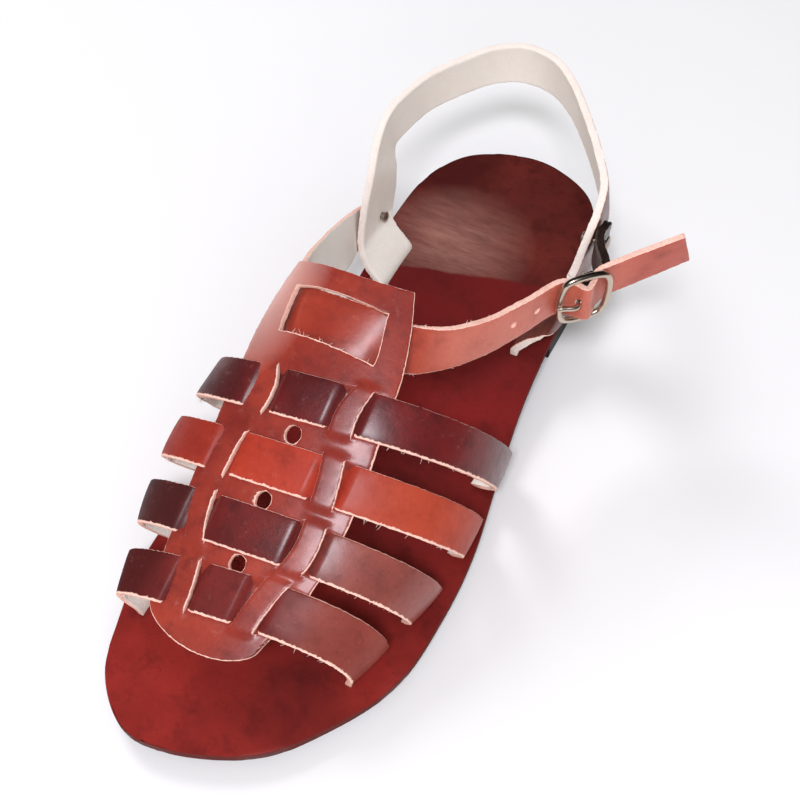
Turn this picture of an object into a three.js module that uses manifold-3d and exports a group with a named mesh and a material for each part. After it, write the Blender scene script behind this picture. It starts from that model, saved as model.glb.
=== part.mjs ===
import * as THREE from 'three';
import { mergeVertices } from 'three/addons/utils/BufferGeometryUtils.js';
import Module from 'manifold-3d';

// A left-foot open sandal of cut leather straps: millimetres, toe at -Y, heel at +Y,
// outer side of the foot at +X, floor at Z = 0.

// Driving dimensions
const soleLength = 257;
const ballWidth = 92;
const insoleThickness = 3.2;
const outsoleThickness = 3;
const outsoleInset = 0.8;
const heelHeight = 8;
const heelBreast = 0.7;
const toeSpring = 1.5;
const instepHeight = 74.4;
const webThickness = 2;
const strapWidth = 13.5;
const weaveDepth = 0.95;
const barWidth = 6.6;
const stampRadius = 2.4;
const ankleWidth = 14.8;
const ankleThickness = 1.8;
const slingWidth = 16.5;
const legWidth = 23;
const slingThickness = 2.8;
const slingHeight = instepHeight * 0.49;
const billetWidth = 11;
const billetThickness = 1.4;
const frameHeight = 20;
const frameLength = 17;
const frameBar = 1.1;
const prongRadius = 0.9;
const tailLength = 25;
const holeRadius = 1.4;
const rivetRadius = 1.4;
const rivetHead = 3.2;
const rivetCap = 0.9;
const clearance = 0.3;
const cutReach = 60;
const tubeSides = 7;

// Heights of the sole layers
const insoleBase = outsoleThickness + clearance;
const insoleTop = insoleBase + insoleThickness;

// Outline of the insole: shares of sole length and of ball width
const soleRows = [
  { along: 0.003, medial: -0.19, lateral: -0.045 },
  { along: 0.045, medial: -0.34, lateral: 0.225 },
  { along: 0.1, medial: -0.405, lateral: 0.365 },
  { along: 0.185, medial: -0.466, lateral: 0.5 },
  { along: 0.285, medial: -0.471, lateral: 0.532 },
  { along: 0.37, medial: -0.47, lateral: 0.524 },
  { along: 0.48, medial: -0.426, lateral: 0.474 },
  { along: 0.585, medial: -0.386, lateral: 0.433 },
  { along: 0.69, medial: -0.385, lateral: 0.418 },
  { along: 0.795, medial: -0.41, lateral: 0.415 },
  { along: 0.895, medial: -0.392, lateral: 0.362 },
  { along: 0.962, medial: -0.292, lateral: 0.262 },
  { along: 0.996, medial: -0.09, lateral: 0.075 },
];

// Sections of the foot space under the upper: height is a share of the instep height,
// the other columns are shares of ball width
const archRows = [
  { along: 0.063, height: 0.18, ridge: -0.025, medial: -0.33, lateral: 0.24 },
  { along: 0.16, height: 0.305, ridge: -0.038, medial: -0.425, lateral: 0.372 },
  { along: 0.238, height: 0.43, ridge: -0.052, medial: -0.5, lateral: 0.437 },
  { along: 0.316, height: 0.562, ridge: -0.064, medial: -0.54, lateral: 0.487 },
  { along: 0.393, height: 0.7, ridge: -0.075, medial: -0.525, lateral: 0.492 },
  { along: 0.491, height: 0.842, ridge: -0.085, medial: -0.505, lateral: 0.475 },
  { along: 0.588, height: 0.965, ridge: -0.093, medial: -0.46, lateral: 0.45 },
];
const archPower = 2.2;
const medialBelly = 12;
const lateralBelly = 6;

// Outline of the middle piece: shares of sole length and of ball width
const webRows = [
  { along: 0.099, medial: -0.16, lateral: 0.03 },
  { along: 0.112, medial: -0.235, lateral: 0.085 },
  { along: 0.135, medial: -0.275, lateral: 0.13 },
  { along: 0.17, medial: -0.3, lateral: 0.168 },
  { along: 0.21, medial: -0.31, lateral: 0.195 },
  { along: 0.26, medial: -0.325, lateral: 0.21 },
  { along: 0.32, medial: -0.337, lateral: 0.206 },
  { along: 0.375, medial: -0.345, lateral: 0.188 },
  { along: 0.43, medial: -0.357, lateral: 0.172 },
  { along: 0.48, medial: -0.352, lateral: 0.135 },
  { along: 0.519, medial: -0.338, lateral: 0.092 },
];
const webTip = { along: 0.097, across: -0.07 };
const webDip = { along: 0.51, across: -0.13 };

// Window at the top of the middle piece, which the ankle strap runs through
const windowRows = [
  { along: 0.429, medial: -0.262, lateral: 0.076 },
  { along: 0.484, medial: -0.283, lateral: 0.048 },
];

// The four woven straps, heel side first: along is where the strap crosses the ridge,
// middle and half are the slit pair in shares of ball width, lean and skew tilt its plane,
// medialSlot and lateralSlot are where it enters the insole
const strapRows = [
  { along: 0.37, middle: -0.073, half: 0.105,
    lean: 0.47, skew: 0.15, medialSlot: -0.39, lateralSlot: 0.4 },
  { along: 0.2985, middle: -0.073, half: 0.142,
    lean: 0.41, skew: 0.13, medialSlot: -0.4, lateralSlot: 0.445 },
  { along: 0.23, middle: -0.062, half: 0.147,
    lean: 0.25, skew: 0.12, medialSlot: -0.395, lateralSlot: 0.42 },
  { along: 0.162, middle: -0.063, half: 0.08,
    lean: 0.02, skew: 0.15, medialSlot: -0.345, lateralSlot: 0.362 },
];

// Heel strap, medial slot first: side is a share of ball width, height of the height of its
// middle line over the heel seat, heading turns from heelward over outward to toeward, and
// lean tips the upper edge inward
const slingRows = [
  { side: -0.28, along: 0.709, height: -0.077, heading: 0, lean: 0 },
  { side: -0.28, along: 0.709, height: 0.02, heading: 0, lean: 0 },
  { side: -0.31, along: 0.712, height: 0.085, heading: 0, lean: 0 },
  { side: -0.36, along: 0.72, height: 0.15, heading: 0, lean: 0 },
  { side: -0.402, along: 0.735, height: 0.22, heading: 0, lean: 0 },
  { side: -0.415, along: 0.748, height: 0.36, heading: 0, lean: 0 },
  { side: -0.42, along: 0.762, height: 0.54, heading: 0, lean: 0 },
  { side: -0.424, along: 0.776, height: 0.76, heading: 0, lean: 0 },
  { side: -0.442, along: 0.796, height: 0.92, heading: 1, lean: 0 },
  { side: -0.455, along: 0.822, height: 0.99, heading: 3, lean: 0 },
  { side: -0.45, along: 0.853, height: 1, heading: 9, lean: 0 },
  { side: -0.418, along: 0.911, height: 1, heading: 22, lean: 2 },
  { side: -0.335, along: 0.968, height: 1, heading: 40, lean: 3 },
  { side: -0.24, along: 1.012, height: 1, heading: 60, lean: 3 },
  { side: -0.141, along: 1.03, height: 1, heading: 90, lean: 3 },
  { side: -0.012, along: 1.024, height: 1, heading: 120, lean: 6 },
  { side: 0.1, along: 0.994, height: 1, heading: 136, lean: 8 },
  { side: 0.232, along: 0.936, height: 1, heading: 146, lean: 10 },
  { side: 0.36, along: 0.868, height: 1, heading: 155, lean: 10 },
  { side: 0.424, along: 0.826, height: 0.99, heading: 166, lean: 8 },
  { side: 0.44, along: 0.797, height: 0.92, heading: 176, lean: 4 },
  { side: 0.436, along: 0.777, height: 0.77, heading: 180, lean: 0 },
  { side: 0.432, along: 0.762, height: 0.57, heading: 180, lean: 0 },
  { side: 0.425, along: 0.739, height: 0.4, heading: 180, lean: 0 },
  { side: 0.4, along: 0.716, height: 0.25, heading: 180, lean: 0 },
  { side: 0.35, along: 0.7, height: 0.12, heading: 180, lean: 0 },
  { side: 0.315, along: 0.692, height: 0.02, heading: 180, lean: 0 },
  { side: 0.315, along: 0.692, height: -0.077, heading: 180, lean: 0 },
];

// Ankle strap from the medial leg over the instep to the buckle: height is a share of the
// instep height, tip leans the upper edge towards the leg of the wearer
const ankleRows = [
  { side: -0.448, along: 0.776, height: 0.19, tip: 0 },
  { side: -0.448, along: 0.752, height: 0.215, tip: 0 },
  { side: -0.441, along: 0.698, height: 0.29, tip: -12 },
  { side: -0.412, along: 0.64, height: 0.38, tip: -27 },
  { side: -0.385, along: 0.58, height: 0.48, tip: -22 },
  { side: -0.364, along: 0.52, height: 0.578, tip: 8 },
  { side: -0.316, along: 0.478, height: 0.662, tip: 44 },
  { side: -0.222, along: 0.459, height: 0.727, tip: 60 },
  { side: -0.108, along: 0.457, height: 0.748, tip: 64 },
  { side: 0.011, along: 0.461, height: 0.737, tip: 58 },
  { side: 0.12, along: 0.473, height: 0.701, tip: 41 },
  { side: 0.228, along: 0.495, height: 0.69, tip: 14 },
  { side: 0.315, along: 0.538, height: 0.655, tip: 5 },
  { side: 0.386, along: 0.588, height: 0.635, tip: 2 },
];

// Buckle: its middle, and how its strap runs from one bar to the next
const buckleMiddle = { side: 0.533, along: 0.6525, height: 0.625 };
const buckleFlare = 45;
const centreDrop = 2.5;
const strapThroughBuckle = [
  { reach: -0.9, out: -2.6, rise: 0 },
  { reach: -0.44, out: -0.3, rise: 0 },
  { reach: 0, out: 2.5, rise: 0 },
  { reach: 0.44, out: -0.3, rise: 0.6 },
  { reach: 0.9, out: -2.6, rise: 1.6 },
];

const wasm = await Module();
wasm.setup();

function yAt(along) {
  return (along - 0.5) * soleLength;
}

function alongAt(y) {
  return y / soleLength + 0.5;
}

function smooth(from, to, value) {
  return THREE.MathUtils.smoothstep(value, from, to);
}

// Height of the underside of the sole over the floor
function soleRise(y) {
  const along = alongAt(y);
  const toe = Math.max(0, 0.12 - along) / 0.12;
  return heelHeight * smooth(0.448, 0.727, along) + toeSpring * toe * toe;
}

// Smooth reading of one column of a table at a share of the sole length
function readColumn(rows, column, along) {
  let k = 1;
  while (k < rows.length - 1 && rows[k].along < along) {
    k += 1;
  }
  const slope = (i) => {
    const before = rows[Math.max(0, i - 1)];
    const after = rows[Math.min(rows.length - 1, i + 1)];
    return (after[column] - before[column]) / (after.along - before.along);
  };
  const a = rows[k - 1];
  const b = rows[k];
  const span = b.along - a.along;
  const t = (along - a.along) / span;
  const s = THREE.MathUtils.clamp(t, 0, 1);
  const h00 = (1 + 2 * s) * (1 - s) * (1 - s);
  const h10 = s * (1 - s) * (1 - s);
  const h01 = s * s * (3 - 2 * s);
  const h11 = s * s * (s - 1);
  const inside = h00 * a[column] + h10 * span * slope(k - 1) + h01 * b[column] + h11 * span * slope(k);
  const past = (t - s) * span * slope(t > 1 ? k : k - 1);
  return inside + past;
}

// Section of the foot space at a place along the sole
function archSection(y) {
  const along = alongAt(y);
  return {
    top: insoleTop + instepHeight * readColumn(archRows, 'height', along),
    ridge: ballWidth * readColumn(archRows, 'ridge', along),
    medial: ballWidth * readColumn(archRows, 'medial', along),
    lateral: ballWidth * readColumn(archRows, 'lateral', along),
  };
}

// Height of the foot space over a point of the sole
function archHeight(x, y) {
  const section = archSection(y);
  const outward = x > section.ridge;
  const reach = outward ? section.lateral - section.ridge : section.ridge - section.medial;
  const belly = insoleTop + (outward ? lateralBelly : medialBelly);
  const share = Math.min(Math.abs(x - section.ridge) / reach, 0.999);
  return belly + (section.top - belly) * Math.pow(1 - Math.pow(share, archPower), 1 / archPower);
}

// Closed solid from a grid of points, thickened along the grid's own normals
function gridSlab(points, lift, thickness) {
  const rows = points.length;
  const columns = points[0].length;
  const positions = [];
  const normalAt = (i, j) => {
    const down = points[Math.min(rows - 1, i + 1)][j].clone().sub(points[Math.max(0, i - 1)][j]);
    const over = points[i][Math.min(columns - 1, j + 1)].clone().sub(points[i][Math.max(0, j - 1)]);
    return down.cross(over).normalize();
  };
  for (const side of [0.5, -0.5]) {
    for (let i = 0; i < rows; i += 1) {
      for (let j = 0; j < columns; j += 1) {
        const offset = lift(i, j) + side * thickness;
        const place = points[i][j].clone().addScaledVector(normalAt(i, j), offset);
        positions.push(place.x, place.y, place.z);
      }
    }
  }
  const top = (i, j) => i * columns + j;
  const base = (i, j) => rows * columns + i * columns + j;
  const index = [];
  const quad = (a, b, c, d) => index.push(a, b, c, a, c, d);
  for (let i = 0; i < rows - 1; i += 1) {
    for (let j = 0; j < columns - 1; j += 1) {
      quad(top(i, j), top(i + 1, j), top(i + 1, j + 1), top(i, j + 1));
      quad(base(i, j), base(i, j + 1), base(i + 1, j + 1), base(i + 1, j));
    }
    quad(top(i, 0), base(i, 0), base(i + 1, 0), top(i + 1, 0));
    quad(top(i + 1, columns - 1), base(i + 1, columns - 1), base(i, columns - 1), top(i, columns - 1));
  }
  for (let j = 0; j < columns - 1; j += 1) {
    quad(top(0, j + 1), base(0, j + 1), base(0, j), top(0, j));
    quad(top(rows - 1, j), base(rows - 1, j), base(rows - 1, j + 1), top(rows - 1, j + 1));
  }
  const geometry = new THREE.BufferGeometry();
  geometry.setAttribute('position', new THREE.Float32BufferAttribute(positions, 3));
  geometry.setIndex(index);
  return geometry;
}

function toSolid(geometry) {
  const plain = geometry.clone();
  plain.deleteAttribute('normal');
  plain.deleteAttribute('uv');
  const merged = mergeVertices(plain, 1e-4);
  return new wasm.Manifold(new wasm.Mesh({
    numProp: 3,
    vertProperties: new Float32Array(merged.attributes.position.array),
    triVerts: new Uint32Array(merged.index.array),
  }));
}

function toGeometry(solid) {
  const mesh = solid.getMesh();
  const geometry = new THREE.BufferGeometry();
  geometry.setAttribute('position', new THREE.BufferAttribute(new Float32Array(mesh.vertProperties), 3));
  geometry.setIndex(new THREE.BufferAttribute(new Uint32Array(mesh.triVerts), 1));
  geometry.computeVertexNormals();
  return geometry;
}

// Upright prism over an outline in plan
function uprightPrism(outline, low, high) {
  const shape = new THREE.Shape(outline);
  const geometry = new THREE.ExtrudeGeometry(shape, { depth: high - low, bevelEnabled: false });
  return toSolid(geometry.translate(0, 0, low));
}

// Slab with a side profile in Y and Z, right across the shoe
function sideSlab(profile) {
  const shape = new THREE.Shape(profile);
  const geometry = new THREE.ExtrudeGeometry(shape, { depth: 2 * ballWidth, bevelEnabled: false });
  const turn = new THREE.Matrix4().makeBasis(
    new THREE.Vector3(0, 1, 0), new THREE.Vector3(0, 0, 1), new THREE.Vector3(1, 0, 0));
  return toSolid(geometry.applyMatrix4(turn).translate(-ballWidth, 0, 0));
}

function soleOutline(inset) {
  const corners = [];
  for (const row of soleRows) {
    corners.push(new THREE.Vector3(row.lateral * ballWidth, yAt(row.along), 0));
  }
  for (const row of [...soleRows].reverse()) {
    corners.push(new THREE.Vector3(row.medial * ballWidth, yAt(row.along), 0));
  }
  const curve = new THREE.CatmullRomCurve3(corners, true, 'centripetal');
  const count = 84;
  const outline = [];
  for (let k = 0; k < count; k += 1) {
    const place = curve.getPointAt(k / count);
    const heading = curve.getTangentAt(k / count);
    outline.push(new THREE.Vector2(place.x - heading.y * inset, place.y + heading.x * inset));
  }
  return outline;
}

// Layer of the sole between two heights that ride on the sole's own rise
function soleLayer(inset, low, high) {
  const steps = 30;
  const reach = soleLength / 2 + 2;
  const upper = [];
  const lower = [];
  for (let k = 0; k <= steps; k += 1) {
    const y = THREE.MathUtils.lerp(-reach, reach, k / steps);
    upper.push(new THREE.Vector2(y, soleRise(y) + high));
    lower.unshift(new THREE.Vector2(y, soleRise(y) + low));
  }
  const slab = sideSlab([...upper, ...lower]);
  return uprightPrism(soleOutline(inset), -5, 40).intersect(slab);
}

// Plane of a woven strap, solved for the section that it cuts
function strapPlace(row, across, edge) {
  const home = yAt(row.along);
  const ridge = archSection(home);
  const spread = edge * strapWidth / 2 * Math.sqrt(1 + row.lean * row.lean + row.skew * row.skew);
  let y = home + spread;
  let place = across(y);
  for (let pass = 0; pass < 8; pass += 1) {
    place = across(y);
    y = home + spread + row.lean * (ridge.top - place.z) + row.skew * (place.x - ridge.ridge);
  }
  return new THREE.Vector3(place.x, y, place.z);
}

// Lower end of a woven strap: belly, hook and the run down into the slot
function strapEnd(row, outward, t) {
  return (y) => {
    const section = archSection(y);
    const reach = outward ? section.lateral : section.medial;
    const slot = ballWidth * (outward ? row.lateralSlot : row.medialSlot);
    const belly = outward ? lateralBelly : medialBelly;
    const floor = insoleTop + soleRise(y);
    if (t > 1) {
      return { x: slot, z: floor - (t - 1) * (insoleThickness - clearance) };
    }
    const a = (1 - t) * (1 - t) * (1 - t);
    const b = 3 * t * (1 - t) * (1 - t);
    const c = 3 * t * t * (1 - t);
    const d = t * t * t;
    return { x: (a + b) * reach + (c + d) * slot, z: floor + belly * (a + b * 0.65 + c * 0.5) };
  };
}

function strapArch(angle) {
  return (y) => {
    const section = archSection(y);
    const outward = Math.cos(angle) > 0;
    const reach = outward ? section.lateral - section.ridge : section.medial - section.ridge;
    const belly = insoleTop + (outward ? lateralBelly : medialBelly);
    const run = Math.pow(Math.abs(Math.cos(angle)), 2 / archPower);
    const climb = Math.pow(Math.max(Math.sin(angle), 0), 2 / archPower);
    return { x: section.ridge + reach * run, z: belly + (section.top - belly) * climb };
  };
}

// Over and under of the weave: 1 where the strap shows, -1 where a bar of the middle piece covers it
function weaveSide(row, x) {
  const inner = row.half * ballWidth;
  const outer = inner + barWidth;
  const away = Math.abs(x - row.middle * ballWidth);
  return 1 - 2 * (smooth(inner - 1.2, inner + 1.2, away) - smooth(outer - 1.2, outer + 1.2, away));
}

function strapGrid(row) {
  const grid = [];
  const edges = [-1, 0, 1];
  const push = (across) => grid.push(edges.map((edge) => strapPlace(row, across, edge)));
  const endSteps = [2, 1.4, 1, 0.75, 0.5, 0.25];
  for (const t of endSteps) {
    push(strapEnd(row, false, t));
  }
  const archSteps = 24;
  for (let k = 0; k <= archSteps; k += 1) {
    push(strapArch(Math.PI * (1 - k / archSteps)));
  }
  for (const t of [...endSteps].reverse()) {
    push(strapEnd(row, true, t));
  }
  return grid;
}

function strapSolid(row) {
  const grid = strapGrid(row);
  const lift = (i, j) => weaveDepth * weaveSide(row, grid[i][j].x);
  return toSolid(gridSlab(grid, lift, webThickness));
}

// Slot in the insole for one end of a woven strap
function strapSlot(row, outward) {
  const ends = [2.6, 1.4, 1, 0.9];
  const wide = 1 + 4 * clearance / strapWidth;
  const line = (t) => [-wide, 0, wide].map((edge) => strapPlace(row, strapEnd(row, outward, t), edge));
  const grid = ends.map(line);
  const top = grid[grid.length - 1];
  const above = grid[grid.length - 2];
  grid[grid.length - 1] = top.map((point, j) => new THREE.Vector3(above[j].x, above[j].y, point.z + 6));
  const side = outward ? -weaveDepth : weaveDepth;
  return toSolid(gridSlab(grid, () => side, webThickness + 4 * clearance));
}

function webOutline() {
  const side = (column) => webRows.map(
    (row) => new THREE.Vector3(row[column] * ballWidth, yAt(row.along), 0));
  const outer = new THREE.CatmullRomCurve3(
    [new THREE.Vector3(webTip.across * ballWidth, yAt(webTip.along), 0), ...side('lateral')],
    false, 'centripetal');
  const inner = new THREE.CatmullRomCurve3(
    [...side('medial').reverse(), new THREE.Vector3(webTip.across * ballWidth, yAt(webTip.along), 0)],
    false, 'centripetal');
  const flat = (curve) => curve.getSpacedPoints(26).map((point) => new THREE.Vector2(point.x, point.y));
  const dip = new THREE.Vector2(webDip.across * ballWidth, yAt(webDip.along));
  return [...flat(outer), dip, ...flat(inner).slice(0, -1)];
}

// Lift of the middle piece: its bars ride over the straps and the rest lies under them
function webLift(x, y, z) {
  let lift = 0;
  for (const row of strapRows) {
    const home = yAt(row.along);
    const ridge = archSection(home);
    const centre = home + row.lean * (ridge.top - z) + row.skew * (x - ridge.ridge);
    const half = strapWidth / 2 * Math.sqrt(1 + row.lean * row.lean + row.skew * row.skew);
    const inRow = 1 - smooth(half - 0.6, half + 1.8, Math.abs(y - centre));
    lift -= weaveDepth * inRow * weaveSide(row, x);
  }
  return lift;
}

function webSolid() {
  const columns = 20;
  const rows = 34;
  const grid = [];
  for (let i = 0; i <= rows; i += 1) {
    const y = THREE.MathUtils.lerp(yAt(webTip.along) - 2, yAt(webRows.at(-1).along) + 3, i / rows);
    const line = [];
    for (let j = 0; j <= columns; j += 1) {
      const x = THREE.MathUtils.lerp(0.26, -0.38, j / columns) * ballWidth;
      line.push(new THREE.Vector3(x, y, archHeight(x, y)));
    }
    grid.push(line);
  }
  const lift = (i, j) => webLift(grid[i][j].x, grid[i][j].y, grid[i][j].z);
  const slab = toSolid(gridSlab(grid, lift, webThickness));
  return slab.intersect(uprightPrism(webOutline(), -5, instepHeight + 30));
}

function windowCut() {
  const [front, rear] = windowRows;
  const outline = [
    new THREE.Vector2(front.lateral * ballWidth, yAt(front.along)),
    new THREE.Vector2(rear.lateral * ballWidth, yAt(rear.along)),
    new THREE.Vector2(rear.medial * ballWidth, yAt(rear.along)),
    new THREE.Vector2(front.medial * ballWidth, yAt(front.along)),
  ];
  return uprightPrism(outline, 0, instepHeight + 30);
}

// Round holes stamped through the middle piece, toeward of the first three straps
function stampCut(row) {
  const home = yAt(row.along) - strapWidth / 2 * Math.sqrt(1 + row.lean * row.lean) - stampRadius * 0.9;
  const geometry = new THREE.CylinderGeometry(stampRadius, stampRadius, cutReach, 16);
  const x = (row.middle + 0.01) * ballWidth;
  return toSolid(geometry.rotateX(Math.PI / 2).translate(x, home, archHeight(x, home)));
}

function upperSolid() {
  let upper = webSolid();
  for (const row of strapRows) {
    upper = upper.add(strapSolid(row));
  }
  upper = upper.subtract(windowCut());
  for (const row of strapRows.slice(0, 3)) {
    upper = upper.subtract(stampCut(row));
  }
  return upper;
}

function insoleSolid() {
  let insole = soleLayer(0, insoleBase, insoleTop);
  for (const row of strapRows) {
    insole = insole.subtract(strapSlot(row, false)).subtract(strapSlot(row, true));
  }
  return insole;
}

// Flat strap along a curve of middles and a curve of width directions
function strapAlong(middles, wides, widths, thickness, steps) {
  const path = new THREE.CatmullRomCurve3(middles, false, 'centripetal');
  const turn = new THREE.CatmullRomCurve3(wides, false, 'centripetal');
  const grid = [];
  for (let k = 0; k <= steps; k += 1) {
    const middle = path.getPoint(k / steps);
    const wide = turn.getPoint(k / steps).normalize();
    const spot = k / steps * (widths.length - 1);
    const low = Math.min(Math.floor(spot), widths.length - 2);
    const half = THREE.MathUtils.lerp(widths[low], widths[low + 1], spot - low) / 2;
    grid.push([-1, 0, 1].map((edge) => middle.clone().addScaledVector(wide, edge * half)));
  }
  return toSolid(gridSlab(grid, () => 0, thickness));
}

function slingPoint(row) {
  const z = insoleTop + heelHeight + row.height * slingHeight;
  return new THREE.Vector3(row.side * ballWidth, yAt(row.along), z);
}

function slingSolid() {
  const middles = slingRows.map(slingPoint);
  const wides = slingRows.map((row, k) => {
    const angle = THREE.MathUtils.degToRad(row.heading);
    const heading = new THREE.Vector3(Math.sin(angle), Math.cos(angle), 0);
    const before = middles[Math.max(0, k - 1)];
    const after = middles[Math.min(middles.length - 1, k + 1)];
    const run = after.clone().sub(before);
    const wide = new THREE.Vector3(0, 0, run.dot(heading)).addScaledVector(heading, -run.z);
    wide.normalize().lerp(heading.clone().negate(), 1 - smooth(0.1, 0.55, row.height)).normalize();
    const inward = run.clone().cross(wide).normalize();
    const lean = THREE.MathUtils.degToRad(row.lean);
    return wide.multiplyScalar(Math.cos(lean)).addScaledVector(inward, Math.sin(lean));
  });
  const widths = slingRows.map(
    (row) => THREE.MathUtils.lerp(legWidth, slingWidth, smooth(0.5, 1, row.height)));
  return strapAlong(middles, wides, widths, slingThickness, 68);
}

// Slot in the insole for one end of the heel strap
function slingSlot(row) {
  const box = new THREE.BoxGeometry(slingThickness + 3 * clearance, legWidth + 3 * clearance, 30);
  return toSolid(box.translate(row.side * ballWidth, yAt(row.along), insoleTop));
}

// Place in the buckle's own frame: reach along the strap, out from the foot, rise upward
const flareAngle = THREE.MathUtils.degToRad(buckleFlare);
const flareReach = new THREE.Vector3(Math.sin(flareAngle), Math.cos(flareAngle), 0);
const flareOut = new THREE.Vector3(Math.cos(flareAngle), -Math.sin(flareAngle), 0);
const buckleCentre = new THREE.Vector3(
  buckleMiddle.side * ballWidth, yAt(buckleMiddle.along), insoleTop + buckleMiddle.height * instepHeight);

function atBuckle(reach, out, rise) {
  const place = buckleCentre.clone().addScaledVector(flareReach, reach).addScaledVector(flareOut, out);
  return place.setZ(place.z + rise);
}

const halfFrame = frameLength / 2 - frameBar;
const halfRise = frameHeight / 2 - frameBar;
const barRadius = frameBar * 0.9;

const prongPath = new THREE.CatmullRomCurve3([
  atBuckle(-1.2, -0.9, 0),
  atBuckle(-2.2, 1.6, 0),
  atBuckle(-3.8, 3, 0),
  atBuckle(-halfFrame, frameBar + clearance + prongRadius, 0),
  atBuckle(-halfFrame - 2.4, frameBar + clearance + prongRadius * 0.8, 0),
]);

function tube(path, radius, steps, closed) {
  const geometry = new THREE.TubeGeometry(path, steps, radius, tubeSides, closed);
  if (closed) {
    return toSolid(geometry);
  }
  const count = geometry.attributes.position.count;
  const positions = Array.from(geometry.attributes.position.array);
  const index = Array.from(geometry.index.array);
  const first = path.getPointAt(0);
  const last = path.getPointAt(1);
  positions.push(first.x, first.y, first.z, last.x, last.y, last.z);
  for (let k = 0; k < tubeSides; k += 1) {
    const ring = steps * (tubeSides + 1) + k;
    index.push(count, k, k + 1);
    index.push(count + 1, ring + 1, ring);
  }
  const capped = new THREE.BufferGeometry();
  capped.setAttribute('position', new THREE.Float32BufferAttribute(positions, 3));
  capped.setIndex(index);
  return toSolid(capped);
}

function ankleSolid() {
  const middles = ankleRows.map((row) => new THREE.Vector3(
    row.side * ballWidth, yAt(row.along), insoleTop + row.height * instepHeight));
  const tips = ankleRows.map((row) => row.tip);
  for (const step of strapThroughBuckle) {
    middles.push(atBuckle(step.reach * halfFrame, step.out, step.rise));
    tips.push(0);
  }
  middles.push(atBuckle(halfFrame + tailLength * 0.3, -2.4, 4.4));
  tips.push(-4);
  middles.push(atBuckle(halfFrame + tailLength, -0.5, 11));
  tips.push(-8);
  const wides = middles.map((middle, k) => {
    const before = middles[Math.max(0, k - 1)];
    const after = middles[Math.min(middles.length - 1, k + 1)];
    const run = after.clone().sub(before).normalize();
    const outward = run.clone().cross(new THREE.Vector3(0, 0, 1)).normalize();
    const upward = outward.clone().cross(run).normalize();
    const tip = THREE.MathUtils.degToRad(tips[k]);
    return upward.multiplyScalar(Math.cos(tip)).addScaledVector(outward, -Math.sin(tip));
  });
  const widths = middles.map(() => ankleWidth);
  const strap = strapAlong(middles, wides, widths, ankleThickness, 78);
  return strap.subtract(tube(prongPath, holeRadius, 12, false));
}

function frameSolid() {
  const corner = 0.72;
  const outline = [];
  for (const [reach, rise] of [[-1, -corner], [-1, corner], [-corner, 1], [corner, 1],
    [1, corner], [1, -corner], [corner, -1], [-corner, -1]]) {
    outline.push(atBuckle(reach * halfFrame, 0, rise * halfRise));
  }
  const ring = tube(new THREE.CatmullRomCurve3(outline, true, 'centripetal'), frameBar, 40, true);
  const bar = [[-1, 0], [-0.93, -0.75], [-0.78, -1], [0, -1], [0.78, -1], [0.93, -0.75], [1, 0]];
  const path = new THREE.CatmullRomCurve3(
    bar.map(([rise, drop]) => atBuckle(0, drop * centreDrop, rise * halfRise)), false, 'centripetal');
  return ring.add(tube(path, barRadius, 16, false));
}

function prongSolid() {
  const eye = [];
  for (let k = 0; k < 12; k += 1) {
    const angle = 2 * Math.PI * k / 12;
    const radius = barRadius + clearance + prongRadius * 0.8;
    eye.push(atBuckle(radius * Math.cos(angle), -centreDrop + radius * Math.sin(angle), 0));
  }
  const ring = tube(new THREE.CatmullRomCurve3(eye, true), prongRadius * 0.8, 16, true);
  return ring.add(tube(prongPath, prongRadius, 14, false));
}

// Short strap of doubled thin leather from the centre bar back to the lateral leg
function billetSolid() {
  const lowest = buckleCentre.z - billetWidth / 2;
  const eye = atBuckle(0, -centreDrop, 0);
  const legFace = 0.441 * ballWidth + slingThickness / 2 + clearance + billetThickness;
  const path = new THREE.CatmullRomCurve3([
    atBuckle(1.6, -centreDrop - 1.2, 0),
    atBuckle(halfFrame * 0.55, -4.6, 0),
    atBuckle(halfFrame + 1.5, -6.2, 0),
    new THREE.Vector3(legFace + 6.2, yAt(0.712), 0),
    new THREE.Vector3(legFace + 1.6, yAt(0.742), 0),
    new THREE.Vector3(legFace, yAt(0.762), 0),
    new THREE.Vector3(legFace, yAt(0.79), 0),
  ], false, 'centripetal');
  const left = [];
  const right = [];
  for (let k = 0; k <= 24; k += 1) {
    const place = path.getPointAt(k / 24);
    const run = path.getTangentAt(k / 24).setZ(0).normalize();
    left.push(new THREE.Vector2(place.x - run.y * billetThickness, place.y + run.x * billetThickness));
    right.unshift(new THREE.Vector2(place.x + run.y * billetThickness, place.y - run.x * billetThickness));
  }
  const wrap = barRadius + clearance;
  const round = (radius, height) => toSolid(
    new THREE.CylinderGeometry(radius, radius, height, 16).rotateX(Math.PI / 2)
      .translate(eye.x, eye.y, lowest + billetWidth / 2));
  let billet = uprightPrism([...left, ...right], lowest, lowest + billetWidth);
  billet = billet.add(round(wrap + billetThickness, billetWidth)).subtract(round(wrap, 2 * billetWidth));
  const gap = 2 * prongRadius + 5 * clearance;
  const reach = frameLength / 2;
  const slot = new THREE.BoxGeometry(reach, reach, gap).rotateZ(-flareAngle);
  billet = billet.subtract(toSolid(slot.translate(eye.x, eye.y, buckleCentre.z)));
  const slope = -0.22;
  const shear = new THREE.Matrix4().set(
    1, 0, 0, 0, 0, 1, 0, 0, 0, slope, 1, -slope * eye.y, 0, 0, 0, 1);
  return toSolid(toGeometry(billet).applyMatrix4(shear));
}

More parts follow.
